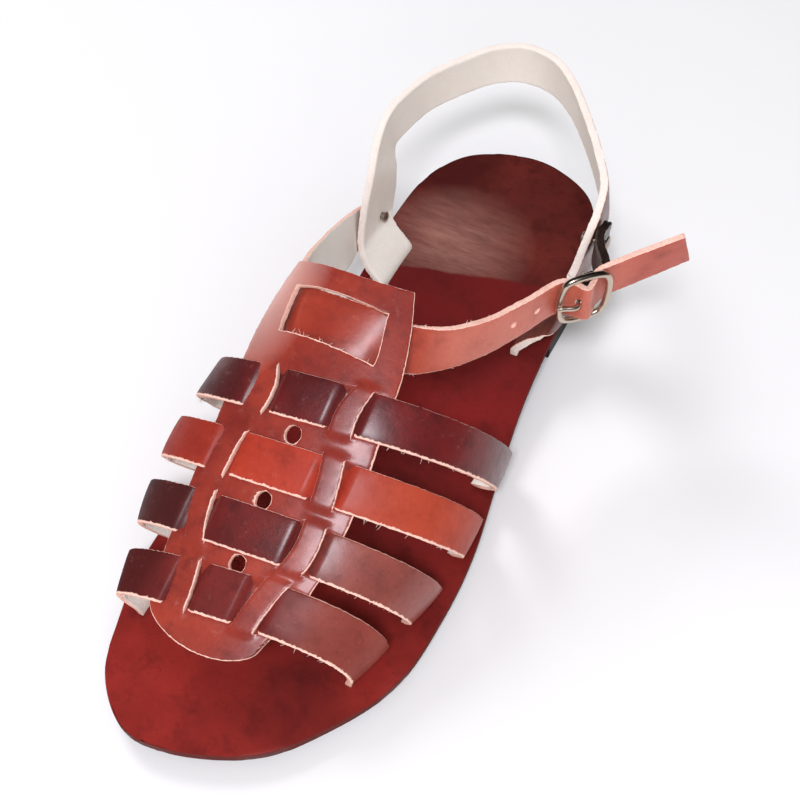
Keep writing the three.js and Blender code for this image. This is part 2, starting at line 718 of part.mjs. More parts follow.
// Rivet across two layers, its axis square to the side of the shoe
function rivetSolid(flip, y, z, inner, outer) {
  const lay = (radius, rim, from, to) => toSolid(
    new THREE.CylinderGeometry(rim, radius, to - from, 14).rotateZ(-Math.PI / 2)
      .translate((from + to) / 2, 0, 0));
  const shank = lay(rivetRadius, rivetRadius, inner - rivetCap, outer + rivetCap);
  const head = lay(rivetHead, rivetHead * 0.72, outer, outer + rivetCap);
  const tailEnd = lay(rivetHead * 0.6, rivetHead * 0.8, inner - rivetCap, inner);
  const whole = shank.add(head).add(tailEnd);
  const geometry = toGeometry(whole);
  if (flip < 0) {
    geometry.rotateZ(Math.PI);
  }
  return toSolid(geometry.translate(0, y, z));
}

function rivetHole(y, z) {
  const radius = rivetRadius + clearance;
  return (from, to) => toSolid(
    new THREE.CylinderGeometry(radius, radius, to - from, 16).rotateZ(Math.PI / 2)
      .translate((from + to) / 2, y, z));
}

function heelLiftSolid() {
  const start = yAt(heelBreast);
  const end = soleLength / 2 + 2;
  const profile = [new THREE.Vector2(start, 0), new THREE.Vector2(end, 0)];
  for (let k = 0; k <= 10; k += 1) {
    const y = THREE.MathUtils.lerp(end, start, k / 10);
    profile.push(new THREE.Vector2(y, soleRise(y) - clearance));
  }
  return uprightPrism(soleOutline(outsoleInset), -5, 40).intersect(sideSlab(profile));
}

function insoleWithSlots() {
  const slots = [slingSlot(slingRows[0]), slingSlot(slingRows.at(-1))];
  return slots.reduce((solid, slot) => solid.subtract(slot), insoleSolid());
}

const leather = (color) => new THREE.MeshStandardMaterial({ color, roughness: 0.4, metalness: 0 });
const metal = (color) => new THREE.MeshStandardMaterial({ color, roughness: 0.3, metalness: 1 });

function piece(name, solid, material) {
  const mesh = new THREE.Mesh(toGeometry(solid), material);
  mesh.name = name;
  return mesh;
}

// Rivets: the medial one holds the ankle strap, the lateral one the billet
const medialFace = 0.41 * ballWidth;
const lateralFace = 0.437 * ballWidth;
const medialSpot = { y: yAt(0.753), z: insoleTop + 0.255 * instepHeight };
const lateralSpot = { y: yAt(0.768), z: insoleTop + 0.535 * instepHeight };
const medialInner = medialFace - slingThickness / 2 - 2.6 * clearance;
const medialOuter = 0.448 * ballWidth + ankleThickness / 2 + clearance;
const lateralInner = lateralFace - slingThickness / 2 - 2 * clearance;
const lateralOuter = 0.441 * ballWidth + slingThickness / 2 + 3 * clearance + 2 * billetThickness;
const medialHole = rivetHole(medialSpot.y, medialSpot.z)(-cutReach, 0);
const lateralHole = rivetHole(lateralSpot.y, lateralSpot.z)(0, cutReach);

const shoe = new THREE.Group();
const black = leather(0x1b1513);
const red = leather(0x9c3328);
shoe.add(piece('outsole', soleLayer(outsoleInset, 0, outsoleThickness), black));
shoe.add(piece('heel_lift', heelLiftSolid(), black));
shoe.add(piece('insole', insoleWithSlots(), leather(0x7a2320)));
shoe.add(piece('upper', upperSolid(), red));
shoe.add(piece('ankle_strap', ankleSolid().subtract(medialHole), red));
shoe.add(piece('heel_strap', slingSolid().subtract(medialHole).subtract(lateralHole), red));
shoe.add(piece('buckle_billet', billetSolid().subtract(lateralHole), black));
shoe.add(piece('buckle_frame', frameSolid(), metal(0xb9a894)));
shoe.add(piece('buckle_prong', prongSolid(), metal(0xb9a894)));
shoe.add(piece('rivet_medial',
  rivetSolid(-1, medialSpot.y, medialSpot.z, medialInner, medialOuter), metal(0xb9a894)));
shoe.add(piece('rivet_lateral',
  rivetSolid(1, lateralSpot.y, lateralSpot.z, lateralInner, lateralOuter), metal(0xb9a894)));

// The origin is the middle of the footprint, on the floor
const bounds = new THREE.Box3().setFromObject(shoe);
const middle = bounds.getCenter(new THREE.Vector3());
for (const mesh of shoe.children) {
  mesh.geometry.translate(-middle.x, -middle.y, -bounds.min.z);
}

export default shoe;
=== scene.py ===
import bisect
import math
import random

import bmesh
import bpy
from mathutils import Matrix, Vector


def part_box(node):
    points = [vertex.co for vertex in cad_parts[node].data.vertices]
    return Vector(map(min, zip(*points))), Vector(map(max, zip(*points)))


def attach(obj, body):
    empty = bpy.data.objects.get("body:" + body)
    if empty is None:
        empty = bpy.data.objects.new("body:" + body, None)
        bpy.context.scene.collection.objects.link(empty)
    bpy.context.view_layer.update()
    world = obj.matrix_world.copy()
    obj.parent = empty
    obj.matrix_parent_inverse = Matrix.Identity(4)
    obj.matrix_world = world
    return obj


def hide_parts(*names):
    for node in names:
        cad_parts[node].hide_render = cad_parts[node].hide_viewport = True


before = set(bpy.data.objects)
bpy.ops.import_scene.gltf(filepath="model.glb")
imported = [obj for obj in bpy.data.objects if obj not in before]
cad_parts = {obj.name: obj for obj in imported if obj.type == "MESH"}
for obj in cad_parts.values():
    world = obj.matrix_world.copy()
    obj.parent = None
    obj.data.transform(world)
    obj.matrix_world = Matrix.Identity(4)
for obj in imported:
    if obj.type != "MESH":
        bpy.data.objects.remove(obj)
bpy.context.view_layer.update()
scene = bpy.context.scene

# Shared sizes in millimetres, toe at -Y, heel at +Y, outer side of the foot at +X
sizes = {
    "soleLength": 257.0,
    "ballWidth": 92.0,
    "insole": 3.2,
    "outsole": 3.0,
    "gap": 0.3,
    "heelHeight": 8.0,
    "toeSpring": 1.5,
    "instepHeight": 74.4,
    "strapWidth": 13.5,
    "weaveDepth": 0.95,
    "barWidth": 6.6,
    "stampRadius": 2.4,
}
insoleBase = sizes["outsole"] + sizes["gap"]
insoleTop = insoleBase + sizes["insole"]
ballWidth = sizes["ballWidth"]
waist = (0.448, 0.727)
toeEnd = 0.12


# Rows of a table, each a dictionary under the names of its columns
def table(columns, *rows):
    return [dict(zip(columns.split(), row)) for row in rows]


# Outline of the insole: shares of sole length and of ball width
soleRows = table(
    "along medial lateral",
    (0.003, -0.19, -0.045), (0.045, -0.34, 0.225), (0.1, -0.405, 0.365), (0.185, -0.466, 0.5),
    (0.285, -0.471, 0.532), (0.37, -0.47, 0.524), (0.48, -0.426, 0.474), (0.585, -0.386, 0.433),
    (0.69, -0.385, 0.418), (0.795, -0.41, 0.415), (0.895, -0.392, 0.362), (0.962, -0.292, 0.262),
    (0.996, -0.09, 0.075),
)

# Sections of the foot space under the straps, and its low bulge on each side in millimetres
archRows = table(
    "along height ridge medial lateral",
    (0.063, 0.18, -0.025, -0.33, 0.24),
    (0.16, 0.305, -0.038, -0.425, 0.372),
    (0.238, 0.43, -0.052, -0.5, 0.437),
    (0.316, 0.562, -0.064, -0.54, 0.487),
    (0.393, 0.7, -0.075, -0.525, 0.492),
    (0.491, 0.842, -0.085, -0.505, 0.475),
    (0.588, 0.965, -0.093, -0.46, 0.45),
)
archPower = 2.2
medialBelly = 12.0
lateralBelly = 6.0


def clamp(value, low=0.0, high=1.0):
    return max(low, min(high, value))


def smooth(low, high, value):
    t = clamp((value - low) / (high - low))
    return t * t * (3 - 2 * t)


def mix(a, b, t):
    return a + (b - a) * t


def yAt(along):
    return (along - 0.5) * sizes["soleLength"]


def alongAt(y):
    return y / sizes["soleLength"] + 0.5


def soleRise(y):
    along = alongAt(y)
    toe = max(0.0, 1 - along / toeEnd)
    return sizes["heelHeight"] * smooth(*waist, along) + sizes["toeSpring"] * toe * toe


def readColumn(rows, column, along):
    k = 1
    while k < len(rows) - 1 and rows[k]["along"] < along:
        k += 1

    def slope(i):
        before = rows[max(0, i - 1)]
        after = rows[min(len(rows) - 1, i + 1)]
        return (after[column] - before[column]) / (after["along"] - before["along"])

    a, b = rows[k - 1], rows[k]
    span = b["along"] - a["along"]
    t = (along - a["along"]) / span
    s = clamp(t)
    inside = (1 + 2 * s) * (1 - s) ** 2 * a[column] + s * (1 - s) ** 2 * span * slope(k - 1)
    inside += s * s * (3 - 2 * s) * b[column] + s * s * (s - 1) * span * slope(k)
    return inside + (t - s) * span * slope(k if t > 1 else k - 1)


def archSection(y):
    share = {key: readColumn(archRows, key, alongAt(y)) for key in archRows[0] if key != "along"}
    section = {key: ballWidth * share[key] for key in ("ridge", "medial", "lateral")}
    return {"top": insoleTop + sizes["instepHeight"] * share["height"], **section}


# Reach of the foot space on one side, and the height of its bulge there
def flank(section, outward):
    return (section["lateral"], lateralBelly) if outward else (section["medial"], medialBelly)


def archHeight(x, y):
    section = archSection(y)
    edge, belly = flank(section, x > section["ridge"])
    share = min((x - section["ridge"]) / (edge - section["ridge"]), 0.999)
    return mix(insoleTop + belly, section["top"], (1 - share ** archPower) ** (1 / archPower))


def onArch(x, y):
    return Vector((x, y, archHeight(x, y)))


# Smooth curve through points, read at even steps of its parameter
def curvePoint(points, t, closed=False):
    if closed:
        line = [points[-1], *points, *points[:2]]
    else:
        line = [points[0] * 2 - points[1], *points, points[-1] * 2 - points[-2]]
    spot = clamp(t) * (len(line) - 3)
    k = min(int(spot), len(line) - 4)
    w = spot - k
    p0, p1, p2, p3 = line[k:k + 4]
    d0, d1, d2 = (max(math.sqrt((b - a).length), 1e-4) for a, b in ((p0, p1), (p1, p2), (p2, p3)))
    m1 = (p1 - p0) / d0 - (p2 - p0) / (d0 + d1) + (p2 - p1) / d1
    m2 = (p2 - p1) / d1 - (p3 - p1) / (d1 + d2) + (p3 - p2) / d2
    m1, m2 = m1 * d1, m2 * d1
    a = p1 * 2 - p2 * 2 + m1 + m2
    b = p2 * 3 - p1 * 3 - m1 * 2 - m2
    return a * w ** 3 + b * w * w + m1 * w + p1


def evenCurve(points, count, closed=False):
    fine = [curvePoint(points, k / 1200, closed) for k in range(1201)]
    marks = [0.0]
    for a, b in zip(fine, fine[1:]):
        marks.append(marks[-1] + (b - a).length)
    result = []
    for i in range(count):
        target = marks[-1] * i / (count if closed else count - 1)
        k = clamp(bisect.bisect_left(marks, target) - 1, 0, len(fine) - 2)
        result.append(fine[k].lerp(fine[k + 1], clamp((target - marks[k]) / (marks[k + 1] - marks[k]))))
    return result


# Point or value at a share of a line of them
def pointOn(line, t):
    spot = t * (len(line) - 1)
    k = min(int(spot), len(line) - 2)
    return mix(line[k], line[k + 1], spot - k)


# Direction of a line of points at one of them
def runAt(points, k, closed=False):
    count = len(points)
    ahead, behind = ((k + 1) % count, k - 1) if closed else (min(k + 1, count - 1), max(k - 1, 0))
    return (points[ahead] - points[behind]).normalized()


def soleOutline(inset, count):
    corners = [Vector((row[side] * ballWidth, yAt(row["along"]), 0))
               for side, rows in (("lateral", soleRows), ("medial", soleRows[::-1])) for row in rows]
    ring = evenCurve(corners, count, True)
    runs = [runAt(ring, k, True) for k in range(count)]
    return [place + Vector((-run.y, run.x, 0)) * inset for place, run in zip(ring, runs)]


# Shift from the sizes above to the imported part's origin
insoleLow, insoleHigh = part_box("insole")
originShift = Vector((0, 0, 0))
for axis in (0, 1):
    reached = [place[axis] for place in soleOutline(0, 400)]
    originShift[axis] = (insoleLow[axis] + insoleHigh[axis]) * 500 - (min(reached) + max(reached)) / 2


def toScene(place):
    return (place + originShift) * 0.001


def placeAt(row, rise):
    return Vector((row["side"] * ballWidth, yAt(row["along"]), rise))


def addObject(name, data):
    made = bpy.data.objects.new(name, data)
    scene.collection.objects.link(made)
    return made


def meshObject(name, bm, materials):
    data = bpy.data.meshes.new(name)
    bm.to_mesh(data)
    bm.free()
    for material in materials:
        data.materials.append(material)
    return addObject(name, data)


def finishMesh(name, bm, materials, replaced, slot):
    piece = meshObject(name, bm, materials)
    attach(piece, "root")
    if replaced:
        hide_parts(*replaced)


# Node helpers for the materials: a socket is fed by another socket, a colour or a value
def feed(tree, values, sockets):
    for key, value in values.items():
        if isinstance(value, bpy.types.NodeSocket):
            tree.links.new(value, sockets[key])
        else:
            sockets[key].default_value = (*value, 1) if isinstance(value, tuple) else value


def addNode(tree, kind, values, **settings):
    node = tree.nodes.new(kind)
    for key, value in settings.items():
        setattr(node, key, value)
    feed(tree, values, node.inputs)
    return node.outputs


def noiseAt(tree, place, scale, detail=4.0, roughness=0.55):
    values = {"Vector": place, "Scale": scale, "Detail": detail, "Roughness": roughness}
    return addNode(tree, "ShaderNodeTexNoise", values)["Fac"]


def mathOf(tree, operation, values):
    result, *others = values
    for other in others:
        result = addNode(tree, "ShaderNodeMath", {0: result, 1: other}, operation=operation)[0]
    return result


def scaled(tree, *factors):
    return mathOf(tree, "MULTIPLY", factors)


def addedTo(tree, *terms):
    return mathOf(tree, "ADD", terms)


def rangeOf(tree, source, low, high, newLow=0, newHigh=1):
    values = {"Value": source, "From Min": low, "From Max": high, "To Min": newLow, "To Max": newHigh}
    return addNode(tree, "ShaderNodeMapRange", values)["Result"]


def mixColours(tree, factor, first, second):
    return addNode(tree, "ShaderNodeMix", {0: factor, 6: first, 7: second}, data_type="RGBA")[2]


def objectPlace(tree):
    return addNode(tree, "ShaderNodeTexCoord", {})["Object"]


def sideOf(tree, place, axis):
    return addNode(tree, "ShaderNodeSeparateXYZ", {0: place})[axis]


# A group of nodes: inputs and outputs name their sockets, build returns what goes to each output
def makeGroup(name, inputs, outputs, build):
    tree = bpy.data.node_groups.new(name, "ShaderNodeTree")
    for direction, sockets in (("INPUT", inputs), ("OUTPUT", outputs)):
        for key, kind in sockets.items():
            tree.interface.new_socket(name=key, in_out=direction, socket_type="NodeSocket" + kind)
    given = addNode(tree, "NodeGroupInput", {})
    addNode(tree, "NodeGroupOutput", build(tree, given, objectPlace(tree)))
    return tree


def sideAt(share):
    return (share * ballWidth + originShift.x) * 0.001


# Dyed leather with painted light: bands in shares of ball width where painted shade darkens it inward and a
# painted sheen pales it outward, but not at the tail, the range of noise in which each effect comes in, and
# the colours of scuffs and raw rims
dyeAndLight = {"shade": (-0.33, -0.23), "fade": (0.13, 0.26), "tail": (0.56, 0.68), "patches": (0.36, 0.66),
       "clouds": (0.5, 0.78), "pores": (0.56, 0.74), "scuffs": (0.58, 0.72), "fray": (0.92, 1),
       "scuffed": (0.62, 0.3, 0.24), "rawRim": (0.9, 0.57, 0.47), "deepShare": 0.62}


def buildDyeAndLight(tree, given, place):
    across = sideOf(tree, place, "X")

    def band(key, low, high):
        return rangeOf(tree, across, *(sideAt(share) for share in dyeAndLight[key]), low, high)

    def between(key, source, low=0, high=1):
        return rangeOf(tree, source, *dyeAndLight[key], low, high)

    broad = noiseAt(tree, place, given["Patch"], 4.0, 0.6)
    cloud = noiseAt(tree, place, scaled(tree, given["Patch"], 5.3), 5.0, 0.65)
    wear = noiseAt(tree, place, scaled(tree, given["Patch"], 9.1), 8.0, 0.78)
    grain = noiseAt(tree, place, given["Grain"], 6.0, 0.7)
    fibre = noiseAt(tree, place, 700, 4.0, 0.8)
    rim = addNode(tree, "ShaderNodeAttribute", {}, attribute_name="rim")["Fac"]
    deeper = mixColours(tree, dyeAndLight["deepShare"], (0, 0, 0), given["Dark"])
    # Painted shade: darker towards the inner side, where the inner strap ends lie in shade
    paintedShade = scaled(tree, band("shade", 1, 0), given["Shade"])
    # Painted sheen: paler towards the outer side, with little of it on the tail beyond the buckle
    paintedSheen = scaled(tree, band("fade", 0, 1), given["Fade"], band("tail", 1, 0.1),
                   between("patches", broad, 1, 0.65))
    clouded = scaled(tree, between("clouds", cloud), rangeOf(tree, paintedSheen, 0, 0.7, 0.75, 0.22))
    scuffs = scaled(tree, between("scuffs", wear), given["Scuff"])
    frayed = between("fray", addedTo(tree, rim, scaled(tree, fibre, 0.8)))
    colour = given["Light"]
    for share, tint in (
        (between("patches", broad), given["Dark"]), (paintedShade, deeper), (paintedSheen, given["Worn"]),
        (clouded, deeper), (between("pores", grain, 0, 0.4), deeper), (scuffs, dyeAndLight["scuffed"]),
        (frayed, dyeAndLight["rawRim"]),
    ):
        colour = mixColours(tree, share, colour, tint)
    return {
        "Colour": colour,
        "Roughness": addedTo(tree, given["Rough"], rangeOf(tree, cloud, 0.3, 0.7, -0.06, 0.12),
                             scaled(tree, paintedShade, 0.35), scaled(tree, frayed, 0.4)),
        "Height": addedTo(tree, scaled(tree, cloud, 1.6), grain),
        "Polish": rangeOf(tree, paintedShade, 0, 1, 1, 0),
    }


# Painted sheen spot, pale: full at its centre, none past its reach
def buildSheenSpot(tree, given, place):
    away = place
    for operation, key in (("SUBTRACT", "Centre"), ("MULTIPLY", "Squeeze")):
        away = addNode(tree, "ShaderNodeVectorMath", {0: away, 1: given[key]}, operation=operation)[0]
    distance = addNode(tree, "ShaderNodeVectorMath", {0: away}, operation="LENGTH")["Value"]
    return {"Mask": rangeOf(tree, distance, given["Core"], given["Reach"], given["Amount"], 0)}


# Undyed leather: short fibres with soft stains
def buildRaw(tree, given, place):
    fibre = noiseAt(tree, place, 2200, 4.0, 0.7)
    colour = mixColours(tree, rangeOf(tree, fibre, 0.35, 0.68), given["Light"], given["Dark"])
    stain = rangeOf(tree, noiseAt(tree, place, 140, 3.0), 0.5, 0.75, 0, 0.6)
    return {"Colour": mixColours(tree, stain, colour, given["Dark"]), "Height": fibre}


def sockets(kind, names):
    return dict.fromkeys(names.split(), kind)


dyeAndLightInputs = {**sockets("Color", "Light Dark Worn"), **sockets("Float", "Patch Grain Scuff Rough Shade Fade")}
dyeAndLightOutputs = {**sockets("Color", "Colour"), **sockets("Float", "Roughness Height Polish")}
sheenSpotInputs = {**sockets("Vector", "Centre Squeeze"), **sockets("Float", "Core Reach Amount")}
dyeAndLightGroup = makeGroup("dyed_leather", dyeAndLightInputs, dyeAndLightOutputs, buildDyeAndLight)
sheenSpotGroup = makeGroup("worn_spot", sheenSpotInputs, sockets("Float", "Mask"), buildSheenSpot)
rawGroup = makeGroup("raw_leather", sockets("Color", "Light Dark"),
                     {**sockets("Color", "Colour"), **sockets("Float", "Height")}, buildRaw)


def sheenSpotMask(tree, spot):
    values = {"Centre": toScene(placeAt(spot, spot["height"])), "Squeeze": Vector(spot["squeeze"])}
    values.update({key: spot[key] for key in ("Core", "Reach", "Amount")})
    return addNode(tree, "ShaderNodeGroup", values, node_tree=sheenSpotGroup)["Mask"]


def dyeAndLightAt(tree, light, dark, look):
    values = {"Light": light, "Dark": dark, **{key: look[key] for key in dyeAndLightInputs if key in look}}
    return addNode(tree, "ShaderNodeGroup", values, node_tree=dyeAndLightGroup)


# Surface of a material: a name of its own, values by the names of their inputs, and fine relief
bumpDistance = 0.0004


def newMaterial(name):
    material = bpy.data.materials.new(name)
    material.use_nodes = True
    return material, material.node_tree


def finishSurface(tree, values, height=None, strength=0.0):
    if height:
        relief = {"Strength": strength, "Distance": bumpDistance, "Height": height}
        values["Normal"] = addNode(tree, "ShaderNodeBump", relief)["Normal"]
    feed(tree, values, tree.nodes["Principled BSDF"].inputs)


def finishLeather(tree, colour, leather, look):
    coat = scaled(tree, leather["Polish"], look["Coat"])
    finishSurface(tree, {"Base Color": colour, "Roughness": leather["Roughness"], "Coat Weight": coat,
                         "Coat Roughness": 0.24, "Specular IOR Level": look["Shine"]},
                  leather["Height"], look["Relief"])


def leatherMaterial(name, light, dark, look):
    material, tree = newMaterial(name)
    leather = dyeAndLightAt(tree, light, dark, look)
    colour = leather["Colour"]
    # Painted sheen spot, where a look has one
    if "spot" in look:
        colour = mixColours(tree, sheenSpotMask(tree, look["spot"]), colour, look["spot"]["colour"])
    finishLeather(tree, colour, leather, look)
    return material


def rawMaterial(name, light, dark, rough=0.85):
    material, tree = newMaterial(name)
    raw = addNode(tree, "ShaderNodeGroup", {"Light": light, "Dark": dark}, node_tree=rawGroup)
    finishSurface(tree, {"Base Color": raw["Colour"], "Roughness": rough, "Specular IOR Level": 0.15},
                  raw["Height"], 0.6)
    return material


def plainMaterial(name, colour, rough, metallic=0.0):
    material, tree = newMaterial(name)
    finishSurface(tree, {"Base Color": colour, "Metallic": metallic, "Roughness": rough})
    return material


strapLook = {"Patch": 30, "Grain": 900, "Scuff": 0.18, "Rough": 0.34, "Coat": 0.35, "Shine": 0.3,
             "Relief": 0.22}
# The strap looks below also paint shade on the inner ends, and a sheen in its own colour on the outer side
plumLook = {**strapLook, "Shade": 0.5}
brightLook = {**strapLook, "Rough": 0.48, "Coat": 0.1, "Shade": 0.3, "Fade": 0.5, "Worn": (0.5, 0.09, 0.04)}
brownLook = {**strapLook, "Shade": 0.85, "Fade": 0.7, "Worn": (0.4, 0.11, 0.085)}
darkLook = {**strapLook, "Rough": 0.5, "Coat": 0.06, "Shine": 0.2, "Shade": 0.9, "Fade": 0.75,
            "Worn": (0.37, 0.08, 0.055)}
ankleLook = {**strapLook, "Fade": 0.75, "Worn": (0.62, 0.17, 0.11)}
# The middle piece's pale pink spot on its upper inner slope is a painted reflection
webLook = {**strapLook, "Patch": 34, "Scuff": 0.2, "Rough": 0.36, "Coat": 0.45, "Shine": 0.28,
           "spot": {"side": -0.37, "along": 0.5, "height": 58.0, "squeeze": (1, 0.5, 0.7), "Core": 0.003,
                    "Reach": 0.02, "Amount": 0.8, "colour": (0.78, 0.46, 0.4)}}
soleLook = {"Patch": 20, "Grain": 700, "Scuff": 0.0, "Rough": 0.5, "Coat": 0.05, "Shine": 0.12, "Relief": 0.2}
leathers = {
    name: leatherMaterial(name + "_leather", light, dark, look)
    for name, light, dark, look in (
        ("web", (0.36, 0.045, 0.026), (0.2, 0.02, 0.015), webLook),
        ("plum_strap", (0.17, 0.014, 0.014), (0.075, 0.008, 0.009), plumLook),
        ("bright_strap", (0.49, 0.045, 0.018), (0.33, 0.024, 0.011), brightLook),
        ("brown_strap", (0.18, 0.018, 0.016), (0.08, 0.009, 0.009), brownLook),
        ("dark_strap", (0.2, 0.022, 0.018), (0.1, 0.01, 0.01), darkLook),
        ("ankle_strap", (0.42, 0.06, 0.032), (0.3, 0.032, 0.018), ankleLook),
        ("heel_strap", (0.22, 0.05, 0.035), (0.12, 0.03, 0.022), strapLook),
        ("billet", (0.03, 0.014, 0.01), (0.014, 0.008, 0.006), strapLook),
        ("sole", (0.02, 0.014, 0.012), (0.01, 0.007, 0.006), soleLook),
    )
}
rawEdge = rawMaterial("raw_edge", (0.95, 0.68, 0.58), (0.76, 0.38, 0.29))
paleEdge = rawMaterial("pale_edge", (0.95, 0.88, 0.82), (0.86, 0.72, 0.64))
fleshSide = rawMaterial("flesh_side", (0.96, 0.92, 0.86), (0.88, 0.81, 0.72), 0.9)
insoleEdge = rawMaterial("insole_edge", (0.16, 0.03, 0.025), (0.08, 0.02, 0.018), 0.6)
buckleMetal = plainMaterial("buckle_metal", (0.62, 0.52, 0.42), 0.28, 1.0)
rivetMetal = plainMaterial("rivet_metal", (0.36, 0.29, 0.24), 0.35, 1.0)
print("materials made")


# Borders of a sheet of cells: pairs of points that only one cell has
def borderPairs(cells):
    count = {}
    for cell in cells:
        for pair in zip(cell, cell[1:] + cell[:1]):
            key = (min(pair), max(pair))
            count[key] = None if key in count else pair
    return [pair for pair in count.values() if pair]


# How far the points of a cut edge stray, in metres
raggedness = 0.00009


def stray(chance, reach):
    return Vector([chance.uniform(-reach, reach) for axis in range(3)])


# Thin sheet of points made solid: first material on the outside, second inside, third on cut edges
def sheetSolid(bm, places, cells, offsets, look, outward=1, fray=None):
    rim = bm.verts.layers.float.new("rim")
    normals = [Vector() for place in places]
    for cell in cells:
        a, b, c, d = (places[k] for k in cell)
        normal = (c - a).cross(d - b)
        for k in cell:
            normals[k] += normal
    half = look["thickness"] / 2
    outer, inner = [], []
    for place, normal, offset in zip(places, normals, offsets):
        for side, away in ((outer, offset + half), (inner, offset - half)):
            side.append(bm.verts.new(toScene(place + normal.normalized() * (outward * away))))
    borders = borderPairs(cells)
    if fray:
        chance = random.Random(len(places))
        for k in {k for pair in borders for k in pair}:
            ragged = stray(chance, raggedness)
            outer[k].co += ragged
            inner[k].co += ragged
        for k, vertex in enumerate(outer):
            vertex[rim] = fray(k)

    def addFace(corners, material):
        face = bm.faces.new(corners if outward > 0 else corners[::-1])
        face.material_index = material
        face.smooth = True
        return face

    for cell in cells:
        addFace([outer[k] for k in cell], 0)
        addFace([inner[k] for k in cell[::-1]], 1)
    rims = [addFace([outer[b], outer[a], inner[a], inner[b]], 2) for a, b in borders]
    edges = {edge for face in rims for edge in face.edges
             if any(other.material_index != 2 for other in edge.link_faces)}
    bmesh.ops.bevel(bm, geom=list(edges), offset=look["bevel"] * 0.001, offset_type="OFFSET", affect="EDGES",
                    segments=2, profile=0.5, material=-1)


def ribbonCells(rows, columns):
    return [[i * columns + j, (i + 1) * columns + j, (i + 1) * columns + j + 1, i * columns + j + 1]
            for i in range(rows - 1) for j in range(columns - 1)]


# Round hole in a grid: the cells taken out, and row, column and angle of each point on its rim
def holeRing(row, column, reach):
    around = range(-reach, reach + 1)
    ring = [(row + i, column + j, math.atan2(i, j)) for i in around for j in around
            if reach in (abs(i), abs(j))]
    return {(row + i, column + j) for i in around[:-1] for j in around[:-1]}, ring


# Cross straps of the upper, heel side first
strapRows = table(
    "along middle half lean skew medialSlot lateralSlot",
    (0.37, -0.073, 0.105, 0.47, 0.15, -0.39, 0.4),
    (0.2985, -0.073, 0.142, 0.41, 0.13, -0.4, 0.445),
    (0.23, -0.062, 0.147, 0.25, 0.12, -0.395, 0.42),
    (0.162, -0.063, 0.08, 0.02, 0.15, -0.345, 0.362),
)


# Where a strap's middle runs, and half of its width measured along the foot
def strapLine(row, x, z):
    ridge = archSection(yAt(row["along"]))
    return yAt(row["along"]) + row["lean"] * (ridge["top"] - z) + row["skew"] * (x - ridge["ridge"])


def halfAlong(row):
    return sizes["strapWidth"] / 2 * math.sqrt(1 + row["lean"] ** 2 + row["skew"] ** 2)


def strapPlace(row, across, edge):
    y = yAt(row["along"]) + edge * halfAlong(row)
    for turn in range(8):
        x, z = across(y)
        y = strapLine(row, x, z) + edge * halfAlong(row)
    return Vector((x, y, z))


def strapEnd(row, outward, t):
    def across(y):
        edge, belly = flank(archSection(y), outward)
        slot = ballWidth * row["lateralSlot" if outward else "medialSlot"]
        floor = insoleTop + soleRise(y)
        if t > 1:
            return slot, floor - (t - 1) * (sizes["insole"] - sizes["gap"])
        a, b, c, d = (1 - t) ** 3, 3 * t * (1 - t) ** 2, 3 * t * t * (1 - t), t ** 3
        return (a + b) * edge + (c + d) * slot, floor + belly * (a + b * 0.65 + c * 0.5)
    return across


def strapArch(angle):
    def across(y):
        section = archSection(y)
        edge, belly = flank(section, math.cos(angle) > 0)
        run = abs(math.cos(angle)) ** (2 / archPower)
        climb = max(math.sin(angle), 0) ** (2 / archPower)
        return mix(section["ridge"], edge, run), mix(insoleTop + belly, section["top"], climb)
    return across


wovenStrap = {"columns": 9, "archSteps": 130, "endSteps": 12, "thickness": 1.9, "bevel": 0.3, "dome": 0.25,
              "endFrom": 0.04, "endTo": 1.9, "frayWidth": 1.3, "backFray": 0.55, "ramp": (2.2, 0.6)}


# Over or under: 1 where a strap lies on the middle piece, -1 under its two bars
def weaveSide(row, x):
    inner = row["half"] * ballWidth
    outer = inner + sizes["barWidth"]
    far, near = wovenStrap["ramp"]
    away = abs(x - row["middle"] * ballWidth)
    return 1 - 2 * (smooth(inner - far, inner + near, away) - smooth(outer - near, outer + far, away))


def makeWovenStrap(name, row, leather):
    columns, ends, steps = wovenStrap["columns"], wovenStrap["endSteps"], wovenStrap["archSteps"]
    edges = [math.sin(math.pi / 2 * mix(-1, 1, j / (columns - 1))) for j in range(columns)]
    downs = [mix(wovenStrap["endTo"], wovenStrap["endFrom"], k / (ends - 1)) for k in range(ends)]
    stations = [strapEnd(row, False, t) for t in downs]
    stations += [strapArch(math.pi * (1 - k / steps)) for k in range(steps + 1)]
    stations += [strapEnd(row, True, t) for t in reversed(downs)]
    places = [strapPlace(row, across, edge) for across in stations for edge in edges]
    offsets = [sizes["weaveDepth"] * weaveSide(row, place.x) - wovenStrap["dome"] * edges[k % columns] ** 4
               for k, place in enumerate(places)]

    def fray(k):
        toFront = (edges[k % columns] + 1) * sizes["strapWidth"] / 2
        back = wovenStrap["backFray"] if k % columns == columns - 1 else 0.0
        return max(back, 1 - toFront / wovenStrap["frayWidth"])

    bm = bmesh.new()
    sheetSolid(bm, places, ribbonCells(len(stations), columns), offsets, wovenStrap, fray=fray)
    finishMesh(name, bm, [leather, fleshSide, rawEdge], ["upper"], "upper_leather")


for k, row in enumerate(strapRows):
    shade = ("plum", "bright", "brown", "dark")[k]
    makeWovenStrap("woven_strap_%d" % (k + 1), row, leathers[shade + "_strap"])
print("woven straps made")

